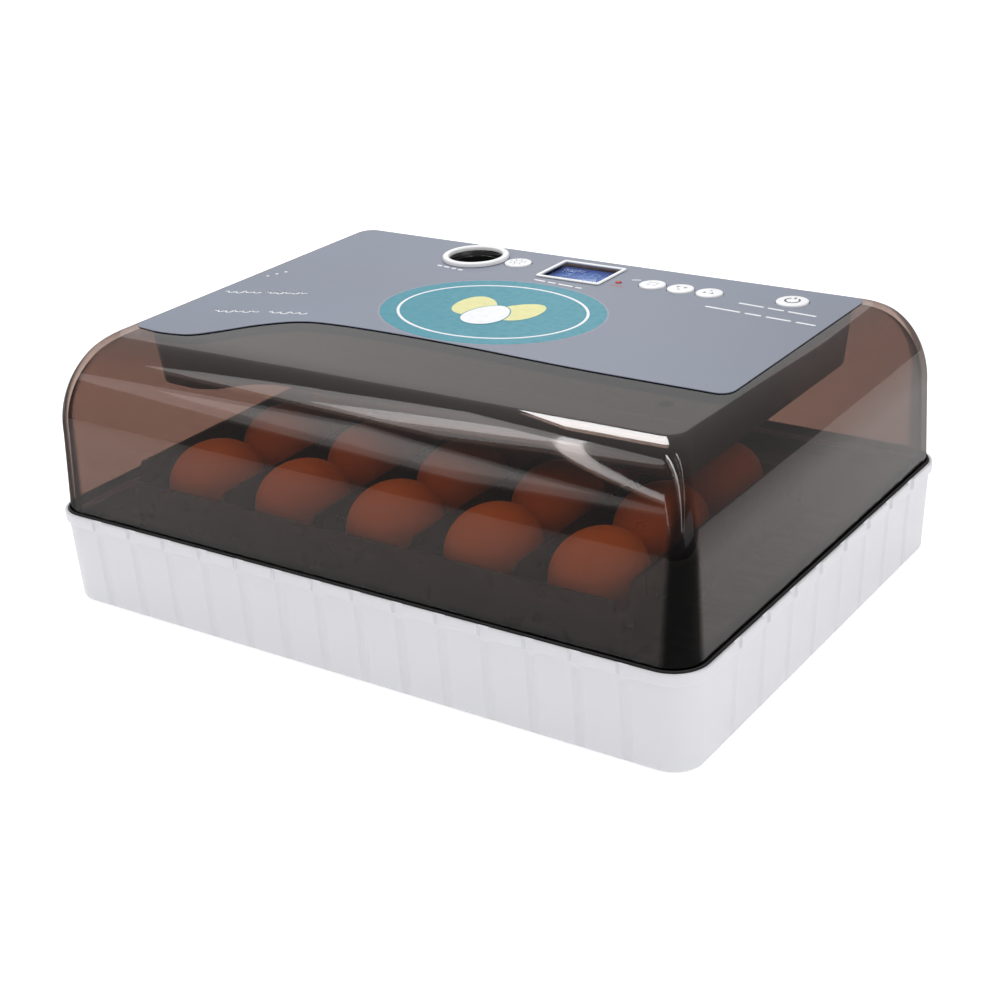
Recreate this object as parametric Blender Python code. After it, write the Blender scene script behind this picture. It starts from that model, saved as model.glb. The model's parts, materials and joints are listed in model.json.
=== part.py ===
"""Table-top egg incubator: ribbed base tub, smoke-clear lid with a control panel, fan and heater, and an egg turner.

Lengths in this script are millimetres and mesh_object turns them into metres. +X runs along the long side, to the
right of somebody who faces the rounded front, +Y to the back and +Z up. The origin is the middle of the underside.
"""
import math

import bmesh
import bpy
from mathutils import Vector

MM = 0.001
GAP = 0.3  # between pieces that touch on the real object

# Base tub
BASE_LENGTH = 400.0
BASE_WIDTH = 300.0
RIM_TOP = 53.5
CORNER_RADIUS = 20.0
CORNER_STEPS = 5
LEDGE_TOP = 49.7  # the lid stands on this ledge, inside the rolled rim
LIP_INNER_INSET = 1.8
LEDGE_INNER_INSET = 5.8
TUB_FLOOR_TOP = 3.1
FRONT_GROOVES = 14
FRONT_GROOVE_PITCH = 25.3
SIDE_GROOVES = 8
SIDE_GROOVE_PITCH = 29.6
GROOVE_TOP = 46.0

# Inner tray, egg floor and turner
TRAY_TOP = 49.0
TRAY_STEP_TOP = 39.3
FLOOR_THICKNESS = 3.0
FLOOR_TOP = TRAY_STEP_TOP + GAP + FLOOR_THICKNESS
FLOOR_HALF_X = 188.0
FLOOR_HALF_Y = 138.0
CHANNELS = 5
CHANNEL_PITCH = 61.0
ROW_PITCH = 61.5
FRONT_ROW_Y = -95.0
ROWS = 3
EGG_RADIUS = 23.2
EGG_HALF_LENGTH = 29.5
EGG_Z = FLOOR_TOP + GAP + EGG_RADIUS
FRAME_WALL = 2.5
FRAME_HALF_X = 155.0
FRAME_FRONT_Y = -130.0
FRAME_BACK_Y = 64.0
FRAME_BOTTOM = FLOOR_TOP + GAP
FRAME_FRONT_TOP = 72.0
FRAME_SIDE_TOP = 80.0
FRAME_TOP = 66.5
DIVIDER_TOP = 76.0
WALL_END_SLOPE = 6.0  # how far back a tall wall's top corners are cut away

# Rack and pinion
GEAR_MODULE = 1.5
PINION_TEETH = 14
PINION_RADIUS = GEAR_MODULE * PINION_TEETH / 2
TOOTH_HEIGHT = 1.2
TOOTH_DEPTH = 1.7
TOOTH_PLAY = 0.22
PRESSURE_ANGLE = 20
GEAR_BOTTOM = 61.0
GEAR_TOP = FRAME_TOP
RACK_PITCH_Y = 67.0
SHAFT_Y = RACK_PITCH_Y + PINION_RADIUS
MOTOR_OFFSET = 14.0  # the geared motor's shaft stands off its middle

# Lid
LID_TOP = 141.0
LID_WALL = 2.5
LID_INSET = 3.4
LID_SHOULDER = 97.0  # the walls turn into the rounded shoulders at this height
LID_FLAT_FRONT = -86.0
LID_FLAT_RIGHT = 158.0
LID_FLAT_LEFT = -188.5
LID_FLAT_BACK = 136.5
SHOULDER_POWER = 2.2
EDGE_RADIUS = 6.0
EDGE_START = LID_TOP - EDGE_RADIUS

# Control housing under the lid's top
HOUSING_BOTTOM = 106.0
HOUSING_TOP = LID_TOP - LID_WALL - 0.4
HOUSING_FLOOR = 2.5
HOUSING_LEFT = -185.0
HOUSING_RIGHT = 154.0
HOUSING_BACK = 133.0
HOUSING_DRAFT = 4.0
FAN_X = -10.0
FAN_Y = 20.0
FAN_BORE = 28.0
FAN_LOW = HOUSING_BOTTOM + HOUSING_FLOOR + GAP
FAN_HIGH = FAN_LOW + 15.0
SCREW_POINTS = ((-168.0, 112.0), (132.0, 84.0), (-166.0, -58.0), (132.0, -48.0))

# Control panel on the lid's top
FILM_BOTTOM = LID_TOP + 0.25
FILM_TOP = FILM_BOTTOM + 0.4
FILM_LEFT = -187.5
FILM_RIGHT = 157.0
FILM_BACK = 135.5
KEY_TRAVEL = 1.0
KEY_TOP = FILM_TOP + KEY_TRAVEL + 0.2
KEY_ROW_Y = 106.5
CANDLER = (-85.5, 109.5)
DISPLAY = (-11.0, 110.0)
LAMP = (18.0, 103.5)
# name: middle x, middle y, cap radius
KEYS = {
    "candler_key": (-55.5, 110.5, 8.2),
    "set_key": (38.5, KEY_ROW_Y, 7.8),
    "down_key": (56.7, KEY_ROW_Y, 7.8),
    "up_key": (74.9, KEY_ROW_Y, 7.8),
    "power_key": (123.0, 112.5, 9.2),
}
INLET_X = 122.0
SOCKET_X = 88.0
INLET_Z = 118.5


# ---------------------------------------------------------------- scene and materials

def clear_scene():
    for item in list(bpy.data.objects):
        bpy.data.objects.remove(item, do_unlink=True)


MATERIALS = {
    # name: colour, roughness, metallic, alpha
    "white_plastic": ((0.82, 0.82, 0.84), 0.35, 0.0, 1.0),
    "black_plastic": ((0.015, 0.015, 0.017), 0.45, 0.0, 1.0),
    "housing_plastic": ((0.03, 0.028, 0.028), 0.4, 0.0, 1.0),
    "smoke_clear": ((0.16, 0.11, 0.09), 0.08, 0.0, 0.45),
    "panel_grey": ((0.30, 0.31, 0.37), 0.45, 0.0, 1.0),
    "key_white": ((0.85, 0.85, 0.87), 0.4, 0.0, 1.0),
    "ring_white": ((0.88, 0.88, 0.88), 0.5, 0.0, 1.0),
    "seal_rubber": ((0.01, 0.01, 0.01), 0.7, 0.0, 1.0),
    "display_blue": ((0.02, 0.09, 0.42), 0.2, 0.0, 1.0),
    "clear_window": ((0.8, 0.85, 0.9), 0.03, 0.0, 0.2),
    "lamp_red": ((0.6, 0.03, 0.02), 0.2, 0.0, 1.0),
    "led_white": ((0.9, 0.9, 0.75), 0.2, 0.0, 1.0),
    "board_green": ((0.02, 0.14, 0.05), 0.5, 0.0, 1.0),
    "egg_brown": ((0.47, 0.19, 0.09), 0.5, 0.0, 1.0),
    "gear_nylon": ((0.75, 0.74, 0.68), 0.5, 0.0, 1.0),
    "steel": ((0.55, 0.55, 0.56), 0.3, 1.0, 1.0),
    "heater_metal": ((0.42, 0.36, 0.32), 0.35, 1.0, 1.0),
}


def material(name):
    found = bpy.data.materials.get(name)
    if found:
        return found
    colour, roughness, metallic, alpha = MATERIALS[name]
    made = bpy.data.materials.new(name)
    made.use_nodes = True
    shader = made.node_tree.nodes["Principled BSDF"]
    shader.inputs["Base Color"].default_value = (*colour, 1.0)
    shader.inputs["Roughness"].default_value = roughness
    shader.inputs["Metallic"].default_value = metallic
    shader.inputs["Alpha"].default_value = alpha
    return made


# ---------------------------------------------------------------- mesh helpers

def mesh_object(name, points, faces, finish, smooth_angle=None):
    """One object from points in millimetres, with its faces pointing out."""
    mesh = bpy.data.meshes.new(name)
    mesh.from_pydata([Vector(point) * MM for point in points], [], faces)
    work = bmesh.new()
    work.from_mesh(mesh)
    bmesh.ops.recalc_face_normals(work, faces=work.faces)
    work.to_mesh(mesh)
    work.free()
    made = bpy.data.objects.new(name, mesh)
    made.data.materials.append(material(finish))
    bpy.context.scene.collection.objects.link(made)
    if smooth_angle:
        shade_round(made, smooth_angle)
    return made


def shade_round(item, angle):
    item.data.shade_smooth()
    item.data.set_sharp_from_angle(angle=math.radians(angle))


def loft(name, rings, finish, smooth_angle=None, closed=False):
    """Skin over rings of equal length. The end rings are capped, or joined to each other when closed is set."""
    size = len(rings[0])
    points = [point for ring in rings for point in ring]
    faces = []
    last = len(rings) if closed else len(rings) - 1
    for level in range(last):
        low = level * size
        high = (level + 1) % len(rings) * size
        for i in range(size):
            j = (i + 1) % size
            faces.append((low + i, low + j, high + j, high + i))
    if not closed:
        faces.append(tuple(reversed(range(size))))
        faces.append(tuple(range((len(rings) - 1) * size, len(rings) * size)))
    return mesh_object(name, points, faces, finish, smooth_angle)


def at_height(outline, z):
    return [(x, y, z) for x, y in outline]


def prism(name, outline, z0, z1, finish, smooth_angle=None):
    return loft(name, [at_height(outline, z0), at_height(outline, z1)], finish, smooth_angle)


def box(name, x0, x1, y0, y1, z0, z1, finish):
    return prism(name, [(x0, y0), (x1, y0), (x1, y1), (x0, y1)], z0, z1, finish)


def circle(x, y, radius, sides):
    turns = (2 * math.pi * i / sides for i in range(sides))
    return [(x + radius * math.cos(turn), y + radius * math.sin(turn)) for turn in turns]


def cylinder(name, x, y, radius, z0, z1, finish, sides=16):
    return prism(name, circle(x, y, radius, sides), z0, z1, finish, 40)


def lathe(name, x, y, profile, finish, sides=24, smooth_angle=40, closed=False):
    """Turn a profile of (radius, z) points about the vertical line through x, y."""
    rings = [at_height(circle(x, y, radius, sides), z) for radius, z in profile]
    return loft(name, rings, finish, smooth_angle, closed)


def rounded_rectangle(x0, x1, y0, y1, radius, steps):
    corners = (
        (x1 - radius, y1 - radius, 0),
        (x0 + radius, y1 - radius, 90),
        (x0 + radius, y0 + radius, 180),
        (x1 - radius, y0 + radius, 270),
    )
    outline = []
    for middle_x, middle_y, start in corners:
        for i in range(steps + 1):
            turn = math.radians(start + 90 * i / steps)
            outline.append((middle_x + radius * math.cos(turn), middle_y + radius * math.sin(turn)))
    return outline


def inset_outline(outline, distance):
    """Move each point of an anticlockwise outline inwards, square to its neighbours' chord."""
    moved = []
    for i, (x, y) in enumerate(outline):
        before = outline[i - 1]
        after = outline[(i + 1) % len(outline)]
        along = Vector((after[0] - before[0], after[1] - before[1])).normalized()
        moved.append((x - along.y * distance, y + along.x * distance))
    return moved


def smooth_through(points, steps):
    """Catmull-Rom curve through the points, with steps spans between each pair."""
    padded = [points[0], *points, points[-1]]
    curve = []
    for i in range(len(points) - 1):
        p0, p1, p2, p3 = (Vector(point) for point in padded[i:i + 4])
        for step in range(steps):
            t = step / steps
            place = 0.5 * (2 * p1 + (p2 - p0) * t + (2 * p0 - 5 * p1 + 4 * p2 - p3) * t ** 2
                           + (3 * p1 - p0 - 3 * p2 + p3) * t ** 3)
            curve.append(tuple(place))
    curve.append(points[-1])
    return curve


def close_round_front(front, corners):
    """Close an anticlockwise outline from its front edge, with four rounded corners of (x, y, radius)."""
    steps = 3
    outline = list(front)
    for (corner_x, corner_y, radius), start in zip(corners, (270, 0, 90, 180)):
        middle_x = corner_x - math.copysign(radius, corner_x)
        middle_y = corner_y - math.copysign(radius, corner_y)
        for step in range(steps + 1):
            turn = math.radians(start + 90 * step / steps)
            outline.append((middle_x + radius * math.cos(turn), middle_y + radius * math.sin(turn)))
    return outline


def combine(target, others, operation, smooth_angle=None):
    """Join other solids to the target or cut them from it, and remove them."""
    for other in others:
        step = target.modifiers.new(operation.lower(), "BOOLEAN")
        step.operation = operation
        step.solver = "EXACT"
        step.object = other
    depsgraph = bpy.context.evaluated_depsgraph_get()
    target.data = bpy.data.meshes.new_from_object(target.evaluated_get(depsgraph))
    target.modifiers.clear()
    for other in others:
        bpy.data.objects.remove(other, do_unlink=True)
    if smooth_angle:
        shade_round(target, smooth_angle)
    return target


def join(target, *others, smooth_angle=None):
    return combine(target, others, "UNION", smooth_angle)


def cut(target, *others, smooth_angle=None):
    return combine(target, others, "DIFFERENCE", smooth_angle)


def one_mesh(name, items):
    """Put solids that are apart from each other into one object, to cut or join them in one step."""
    work = bmesh.new()
    for item in items:
        work.from_mesh(item.data)
        bpy.data.objects.remove(item, do_unlink=True)
    mesh = bpy.data.meshes.new(name)
    work.to_mesh(mesh)
    work.free()
    made = bpy.data.objects.new(name, mesh)
    bpy.context.scene.collection.objects.link(made)
    return made


def set_origin(item, x, y, z):
    """Put an object's origin at a point of its joint's axis without moving its shape."""
    origin = Vector((x, y, z)) * MM
    for vertex in item.data.vertices:
        vertex.co -= origin
    item.location = origin


def group(name, x, y, z, members):
    """An empty at a joint's place, with the pieces that move on that joint."""
    pivot = bpy.data.objects.new(name, None)
    pivot.location = Vector((x, y, z)) * MM
    bpy.context.scene.collection.objects.link(pivot)
    for member in members:
        member.location = member.location - pivot.location
        member.parent = pivot
    return pivot


# ---------------------------------------------------------------- base

def base_outline(inset):
    radius = max(CORNER_RADIUS - inset, 5.0)
    half_x = BASE_LENGTH / 2 - inset
    half_y = BASE_WIDTH / 2 - inset
    return rounded_rectangle(-half_x, half_x, -half_y, half_y, radius, CORNER_STEPS)


def base_rings(profile):
    return [at_height(base_outline(inset), z) for inset, z in profile]


def tub_wall_inset(z):
    """The tub's outer wall leans in towards the foot."""
    foot_inset = 3.9
    rim_inset = 1.7
    return foot_inset + (rim_inset - foot_inset) * z / 46.9


def groove_cutter(place, wall_half, axis):
    """A tapered bar that cuts one vertical groove into a wall, at +wall_half or -wall_half."""
    half_floor = 1.1
    half_mouth = 3.4
    depth = 1.0
    proud = 1.5
    rings = []
    for z in (-1.0, GROOVE_TOP):
        wall = abs(wall_half) - tub_wall_inset(z)
        section = (
            (place - half_mouth, wall + proud),
            (place - half_mouth, wall),
            (place - half_floor, wall - depth),
            (place + half_floor, wall - depth),
            (place + half_mouth, wall),
            (place + half_mouth, wall + proud),
        )
        side = math.copysign(1.0, wall_half)
        if axis == "x":
            rings.append([(along, side * out, z) for along, out in section])
        else:
            rings.append([(side * out, along, z) for along, out in section])
    return loft("groove", rings, "white_plastic")


def make_base_tub():
    profile = (
        (5.3, 0.0), (4.3, 0.8), (tub_wall_inset(3.0), 3.0), (1.7, 46.9), (0.3, 47.4), (0.0, 48.2),
        (0.0, RIM_TOP - 0.9), (0.6, RIM_TOP), (1.3, RIM_TOP), (LIP_INNER_INSET, RIM_TOP - 0.5),
        (LIP_INNER_INSET, LEDGE_TOP), (LEDGE_INNER_INSET, LEDGE_TOP), (7.4, 5.0), (9.4, TUB_FLOOR_TOP),
    )
    tub = loft("base_tub", base_rings(profile), "white_plastic")
    cutters = []
    for i in range(FRONT_GROOVES):
        place = (i - (FRONT_GROOVES - 1) / 2) * FRONT_GROOVE_PITCH
        for side in (-1, 1):
            cutters.append(groove_cutter(place, side * BASE_WIDTH / 2, "x"))
    for i in range(SIDE_GROOVES):
        place = (i - (SIDE_GROOVES - 1) / 2) * SIDE_GROOVE_PITCH
        for side in (-1, 1):
            cutters.append(groove_cutter(place, side * BASE_LENGTH / 2, "y"))
    return cut(tub, one_mesh("grooves", cutters), smooth_angle=35)


def make_rim_seal():
    outer = LIP_INNER_INSET + GAP
    inner = LID_INSET - GAP
    low = LEDGE_TOP + GAP
    high = RIM_TOP + 0.9
    profile = ((outer, low), (outer, high - 0.3), (outer + 0.3, high), (inner, high), (inner, low))
    return loft("rim_seal", base_rings(profile), "seal_rubber", 40, closed=True)


def make_water_tray():
    """Thin stepped tray. Its floor has two water channels between low walls."""
    profile = (
        (17.2, TUB_FLOOR_TOP + GAP), (15.2, 37.4), (9.9, 37.4), (9.1, TRAY_TOP), (10.9, TRAY_TOP),
        (11.5, TRAY_STEP_TOP), (17.0, TRAY_STEP_TOP), (19.0, TUB_FLOOR_TOP + GAP + 2.0),
    )
    tray = loft("water_tray", base_rings(profile), "black_plastic")
    floor = TUB_FLOOR_TOP + GAP + 1.0
    walls = []
    for middle_y in (-72.0, 72.0):
        outline = rounded_rectangle(-150.0, 150.0, middle_y - 34.0, middle_y + 34.0, 12.0, 3)
        inner = inset_outline(outline, 2.0)
        rings = [at_height(outline, floor), at_height(outline, 17.0), at_height(inner, 17.0), at_height(inner, floor)]
        walls.append(loft("channel", rings, "black_plastic", closed=True))
    return join(tray, one_mesh("channels", walls), smooth_angle=35)


def make_egg_floor():
    """Plate with long slots. The eggs roll along them, and the back strip carries the motor."""
    outline = rounded_rectangle(-FLOOR_HALF_X, FLOOR_HALF_X, -FLOOR_HALF_Y, FLOOR_HALF_Y, 7.0, 3)
    plate = prism("egg_floor", outline, FLOOR_TOP - FLOOR_THICKNESS, FLOOR_TOP, "black_plastic")
    slots = []
    slot_length = 168.0
    slot_width = 6.0
    slot_pitch = 12.0
    slot_rows = 17
    first_slot_y = -131.0
    for row in range(slot_rows):
        low = first_slot_y + row * slot_pitch
        for left in (-FLOOR_HALF_X + 10.0, FLOOR_HALF_X - 10.0 - slot_length):
            slots.append(box("slot", left, left + slot_length, low, low + slot_width,
                             FLOOR_TOP - FLOOR_THICKNESS - 1.0, FLOOR_TOP + 1.0, "black_plastic"))
    return cut(plate, one_mesh("slots", slots))


# ---------------------------------------------------------------- turner drive

def make_motor_bracket():
    low = FLOOR_TOP + GAP
    plate_top = low + 2.0
    middle_y = SHAFT_Y + MOTOR_OFFSET
    outline = rounded_rectangle(-36.0, 36.0, middle_y - 23.0, middle_y + 30.0, 5.0, 3)
    plate = prism("motor_bracket", outline, low, plate_top, "steel")
    posts = [cylinder("post", side * 30.0, middle_y, 4.0, plate_top - 0.5, 57.7, "steel", 12) for side in (-1, 1)]
    join(plate, one_mesh("posts", posts))
    holes = [cylinder("hole", side * 30.0, middle_y, 1.8, 50.0, 58.5, "steel", 12) for side in (-1, 1)]
    return cut(plate, one_mesh("holes", holes), smooth_angle=40)


def make_turner_motor():
    """Flat geared motor. Its shaft stands off the can's middle, towards the rack."""
    low = FLOOR_TOP + GAP + 2.0 + GAP
    high = 60.2
    middle_y = SHAFT_Y + MOTOR_OFFSET
    can = lathe("turner_motor", 0.0, middle_y,
                ((23.0, low), (24.5, low + 1.5), (24.5, high - 1.5), (23.0, high)), "steel", 24)
    ears = prism("ears", rounded_rectangle(-34.0, 34.0, middle_y - 4.0, middle_y + 4.0, 3.9, 3),
                 58.0, high - 0.4, "steel")
    shaft = cylinder("shaft", 0.0, SHAFT_Y, 2.2, high - 1.0, GEAR_TOP + 0.6, "steel", 16)
    join(can, ears)
    join(can, shaft)
    holes = [cylinder("hole", side * 30.0, middle_y, 1.8, 57.0, 61.0, "steel", 12) for side in (-1, 1)]
    return cut(can, one_mesh("holes", holes), smooth_angle=40)


def make_motor_screw(name, x):
    middle_y = SHAFT_Y + MOTOR_OFFSET
    head_low = 59.8 + GAP
    profile = ((1.5, 51.0), (1.5, head_low), (3.0, head_low), (3.0, head_low + 1.6), (1.6, head_low + 2.2))
    return lathe(name, x, middle_y, profile, "steel", 10)


def tooth_half_widths():
    """Half width of a tooth at its root and at its tip, thinned by the play."""
    pitch = math.pi * GEAR_MODULE / 4 - TOOTH_PLAY / 2
    slope = math.tan(math.radians(PRESSURE_ANGLE))
    return pitch + slope * TOOTH_DEPTH, pitch - slope * TOOTH_HEIGHT


def make_drive_pinion():
    root, tip = tooth_half_widths()
    outline = []
    for tooth in range(PINION_TEETH):
        middle = -math.pi / 2 + 2 * math.pi * tooth / PINION_TEETH
        for half, radius in ((-root, PINION_RADIUS - TOOTH_DEPTH), (-tip, PINION_RADIUS + TOOTH_HEIGHT),
                             (tip, PINION_RADIUS + TOOTH_HEIGHT), (root, PINION_RADIUS - TOOTH_DEPTH)):
            turn = middle + half / PINION_RADIUS
            outline.append((radius * math.cos(turn), SHAFT_Y + radius * math.sin(turn)))
    bore = [(2.5 * math.cos(turn), SHAFT_Y + 2.5 * math.sin(turn))
            for turn in (-math.pi / 2 + 2 * math.pi * (i - 1.5) / len(outline) for i in range(len(outline)))]
    rings = [at_height(outline, GEAR_BOTTOM), at_height(outline, GEAR_TOP),
             at_height(bore, GEAR_TOP), at_height(bore, GEAR_BOTTOM)]
    gear = loft("drive_pinion", rings, "gear_nylon", 30, closed=True)
    set_origin(gear, 0.0, SHAFT_Y, GEAR_BOTTOM)
    return gear


def make_rack(tooth_count):
    """Teeth on the frame's back wall. A tooth space stands at x = 0, where the pinion's tooth points forwards."""
    root, tip = tooth_half_widths()
    step = math.pi * GEAR_MODULE
    root_y = RACK_PITCH_Y - TOOTH_DEPTH
    tip_y = RACK_PITCH_Y + TOOTH_HEIGHT
    half_length = step * tooth_count / 2 + 2.0
    outline = [(-half_length, FRAME_BACK_Y - 1.0), (half_length, FRAME_BACK_Y - 1.0), (half_length, root_y)]
    for tooth in reversed(range(tooth_count)):
        middle = (tooth - (tooth_count - 1) / 2) * step
        outline += [(middle + root, root_y), (middle + tip, tip_y), (middle - tip, tip_y), (middle - root, root_y)]
    outline.append((-half_length, root_y))
    return prism("rack", outline, GEAR_BOTTOM, GEAR_TOP - 0.5, "black_plastic")


def divider_places():
    return [(i - (CHANNELS - 2) / 2) * CHANNEL_PITCH for i in range(CHANNELS - 1)]


def upright_plate(name, x, thickness, outline):
    """A flat plate that stands across X, with its outline given in Y and Z."""
    rings = [[(x + side * thickness / 2, y, z) for y, z in outline] for side in (-1, 1)]
    return loft(name, rings, "black_plastic")


def make_turner_frame():
    wall = FRAME_WALL
    outline = rounded_rectangle(-FRAME_HALF_X, FRAME_HALF_X, FRAME_FRONT_Y, FRAME_BACK_Y, 4.0, 3)
    inner = rounded_rectangle(-FRAME_HALF_X + wall, FRAME_HALF_X - wall, FRAME_FRONT_Y + wall,
                              FRAME_BACK_Y - wall, 1.5, 3)
    rings = [at_height(outline, FRAME_BOTTOM), at_height(outline, FRAME_TOP),
             at_height(inner, FRAME_TOP), at_height(inner, FRAME_BOTTOM)]
    frame = loft("turner_frame", rings, "black_plastic", closed=True)
    front = box("front", -FRAME_HALF_X + 6.0, FRAME_HALF_X - 6.0, FRAME_FRONT_Y + 0.1, FRAME_FRONT_Y + wall - 0.1,
                FRAME_TOP - 1.0, FRAME_FRONT_TOP, "black_plastic")
    join(frame, front)
    near_y = FRAME_FRONT_Y + 4.5
    far_y = FRAME_BACK_Y - 4.5
    side_outline = [(near_y, FRAME_TOP - 1.0), (far_y, FRAME_TOP - 1.0), (far_y - WALL_END_SLOPE, FRAME_SIDE_TOP),
                    (near_y + WALL_END_SLOPE, FRAME_SIDE_TOP)]
    for side in (-1, 1):
        join(frame, upright_plate("side", side * (FRAME_HALF_X - wall / 2), wall - 0.2, side_outline))
    join(frame, make_rack(14))
    notches = []
    for x in divider_places():
        for near, far in ((FRAME_FRONT_Y + wall - 1.3, FRAME_FRONT_Y + wall + 1.0),
                          (FRAME_BACK_Y - wall - 1.0, FRAME_BACK_Y - wall + 1.3)):
            notches.append(box("notch", x - 1.3, x + 1.3, near, far, FRAME_BOTTOM - 1.0, FRAME_FRONT_TOP + 1.0,
                               "black_plastic"))
    return cut(frame, one_mesh("notches", notches))


def make_dividers():
    reach = 1.0
    near_y = FRAME_FRONT_Y + FRAME_WALL - reach
    far_y = FRAME_BACK_Y - FRAME_WALL + reach
    outline = [(near_y, FRAME_BOTTOM), (far_y, FRAME_BOTTOM), (far_y, FRAME_TOP),
               (far_y - WALL_END_SLOPE, DIVIDER_TOP), (near_y + WALL_END_SLOPE, DIVIDER_TOP),
               (near_y, FRAME_FRONT_TOP - 1.0)]
    return [upright_plate(f"egg_divider_{i + 1}", x, 2.0, outline) for i, x in enumerate(divider_places())]


def make_egg(name, x, y):
    """A hen's egg on its side, blunt end to the front, with its long axis along Y."""
    sides = 12
    bands = 8
    taper = 0.13
    points = [(x, y - EGG_HALF_LENGTH, EGG_Z)]
    for band in range(1, bands):
        turn = math.pi * band / bands
        along = -math.cos(turn)
        radius = EGG_RADIUS * math.sin(turn) * (1.0 - taper * along) / math.sqrt(1.0 + taper * taper)
        radius = min(radius, EGG_RADIUS)
        for side in range(sides):
            round_turn = 2 * math.pi * (side + 0.5) / sides
            points.append((x + radius * math.cos(round_turn), y + EGG_HALF_LENGTH * along,
                           EGG_Z + radius * math.sin(round_turn)))
    points.append((x, y + EGG_HALF_LENGTH, EGG_Z))
    faces = []
    for side in range(sides):
        after = (side + 1) % sides
        faces.append((0, 1 + side, 1 + after))
        for band in range(bands - 2):
            low = 1 + band * sides
            faces.append((low + side, low + sides + side, low + sides + after, low + after))
        low = 1 + (bands - 2) * sides
        faces.append((low + after, low + side, len(points) - 1))
    egg = mesh_object(name, points, faces, "egg_brown", 180)
    set_origin(egg, x, y, EGG_Z)
    return egg


def make_eggs():
    eggs = []
    for row in range(ROWS):
        for channel in range(CHANNELS):
            x = (channel - (CHANNELS - 1) / 2) * CHANNEL_PITCH
            y = FRONT_ROW_Y + row * ROW_PITCH
            eggs.append(make_egg(f"egg_{row * CHANNELS + channel + 1}", x, y))
    return eggs


# ---------------------------------------------------------------- lid

def lid_outline(z, shrink):
    """The lid's plan at height z, moved in by shrink: near-upright left and back, round front and right shoulders."""
    half_x = BASE_LENGTH / 2 - LID_INSET
    half_y = BASE_WIDTH / 2 - LID_INSET
    shoulder_right = half_x - 1.8
    shoulder_front = -half_y + 3.4
    edge_left = -half_x + 3.0
    edge_back = half_y - 5.6
    rise = min((z - RIM_TOP) / (LID_SHOULDER - RIM_TOP), 1.0) if z > RIM_TOP else 0.0
    right = half_x + (shoulder_right - half_x) * rise
    front = -half_y + (shoulder_front + half_y) * rise
    if z > LID_SHOULDER:
        up = (z - LID_SHOULDER) / (LID_TOP - LID_SHOULDER)
        out = max(1.0 - up ** SHOULDER_POWER, 0.0) ** (1 / SHOULDER_POWER)
        right = LID_FLAT_RIGHT + (shoulder_right - LID_FLAT_RIGHT) * out
        front = LID_FLAT_FRONT + (shoulder_front - LID_FLAT_FRONT) * out
    lean = min(max((z - RIM_TOP) / (EDGE_START - RIM_TOP), 0.0), 1.0)
    left = -half_x + (edge_left + half_x) * lean
    back = half_y + (edge_back - half_y) * lean
    if z > EDGE_START:
        drop = EDGE_RADIUS - math.sqrt(max(EDGE_RADIUS ** 2 - (z - EDGE_START) ** 2, 0.0))
        left = edge_left + (LID_FLAT_LEFT - edge_left) * drop / EDGE_RADIUS
        back = edge_back + (LID_FLAT_BACK - edge_back) * drop / EDGE_RADIUS
    full = CORNER_RADIUS - LID_INSET
    radius = full + (9.0 - full) * max((z - RIM_TOP) / (LID_TOP - RIM_TOP), 0.0) - shrink * 0.5
    return rounded_rectangle(left + shrink, right - shrink, front + shrink, back - shrink, radius, CORNER_STEPS)


def lid_rings(shrink, top, bottom):
    """Rings from the top down to the bottom edge, closer together where the shoulders turn."""
    turns = (90, 82, 73, 62, 51, 40, 29, 18, 9)
    heights = [LID_SHOULDER + (top - LID_SHOULDER) * math.sin(math.radians(turn)) for turn in turns]
    heights += [LID_SHOULDER, 76.0, RIM_TOP, bottom]
    rings = []
    for z in heights:
        level = LID_SHOULDER + (z - LID_SHOULDER) * (LID_TOP - LID_SHOULDER) / (top - LID_SHOULDER)
        rings.append(at_height(lid_outline(level if z > LID_SHOULDER else z, shrink), z))
    return rings


def key_hole_radius(name):
    return KEYS[name][2] + 0.4


def panel_cutters(low, high, candler_radius, window_half_x, window_half_y):
    """Cutters for everything that passes through the lid's top and the film."""
    cutters = [cylinder("well", *CANDLER, candler_radius, low, high, "panel_grey", 24)]
    cutters.append(box("window", DISPLAY[0] - window_half_x, DISPLAY[0] + window_half_x,
                       DISPLAY[1] - window_half_y, DISPLAY[1] + window_half_y, low, high, "panel_grey"))
    cutters.append(cylinder("lamp", *LAMP, 2.1, low, high, "panel_grey", 10))
    for name, (x, y, _) in KEYS.items():
        cutters.append(cylinder("key", x, y, key_hole_radius(name), low, high, "panel_grey", 16))
    return one_mesh("panel_cutters", cutters)


def make_lid_shell():
    outer = lid_rings(0.0, LID_TOP, LEDGE_TOP + GAP)
    inner = lid_rings(LID_WALL, LID_TOP - LID_WALL, LEDGE_TOP + GAP)
    shell = loft("lid_shell", outer + inner[::-1], "smoke_clear")
    posts = [cylinder("post", x, y, 4.0, HOUSING_BOTTOM + HOUSING_FLOOR + 0.4, LID_TOP - LID_WALL + 1.0,
                      "smoke_clear", 12) for x, y in SCREW_POINTS]
    join(shell, one_mesh("posts", posts))
    pilots = [cylinder("pilot", x, y, 1.8, HOUSING_BOTTOM, 121.0, "smoke_clear", 10) for x, y in SCREW_POINTS]
    cut(shell, one_mesh("pilots", pilots))
    cut(shell, panel_cutters(LID_TOP - LID_WALL - 1.0, LID_TOP + 1.0, 17.6, 20.9, 16.2))
    openings = [
        box("inlet_hole", INLET_X - 14.2, INLET_X + 14.2, 132.0, 150.0, INLET_Z - 8.7, INLET_Z + 8.7, "smoke_clear"),
        lying_cylinder("socket_hole", SOCKET_X, 132.0, 150.0, INLET_Z, 5.9, "smoke_clear"),
    ]
    return cut(shell, one_mesh("back_openings", openings), smooth_angle=35)


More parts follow.
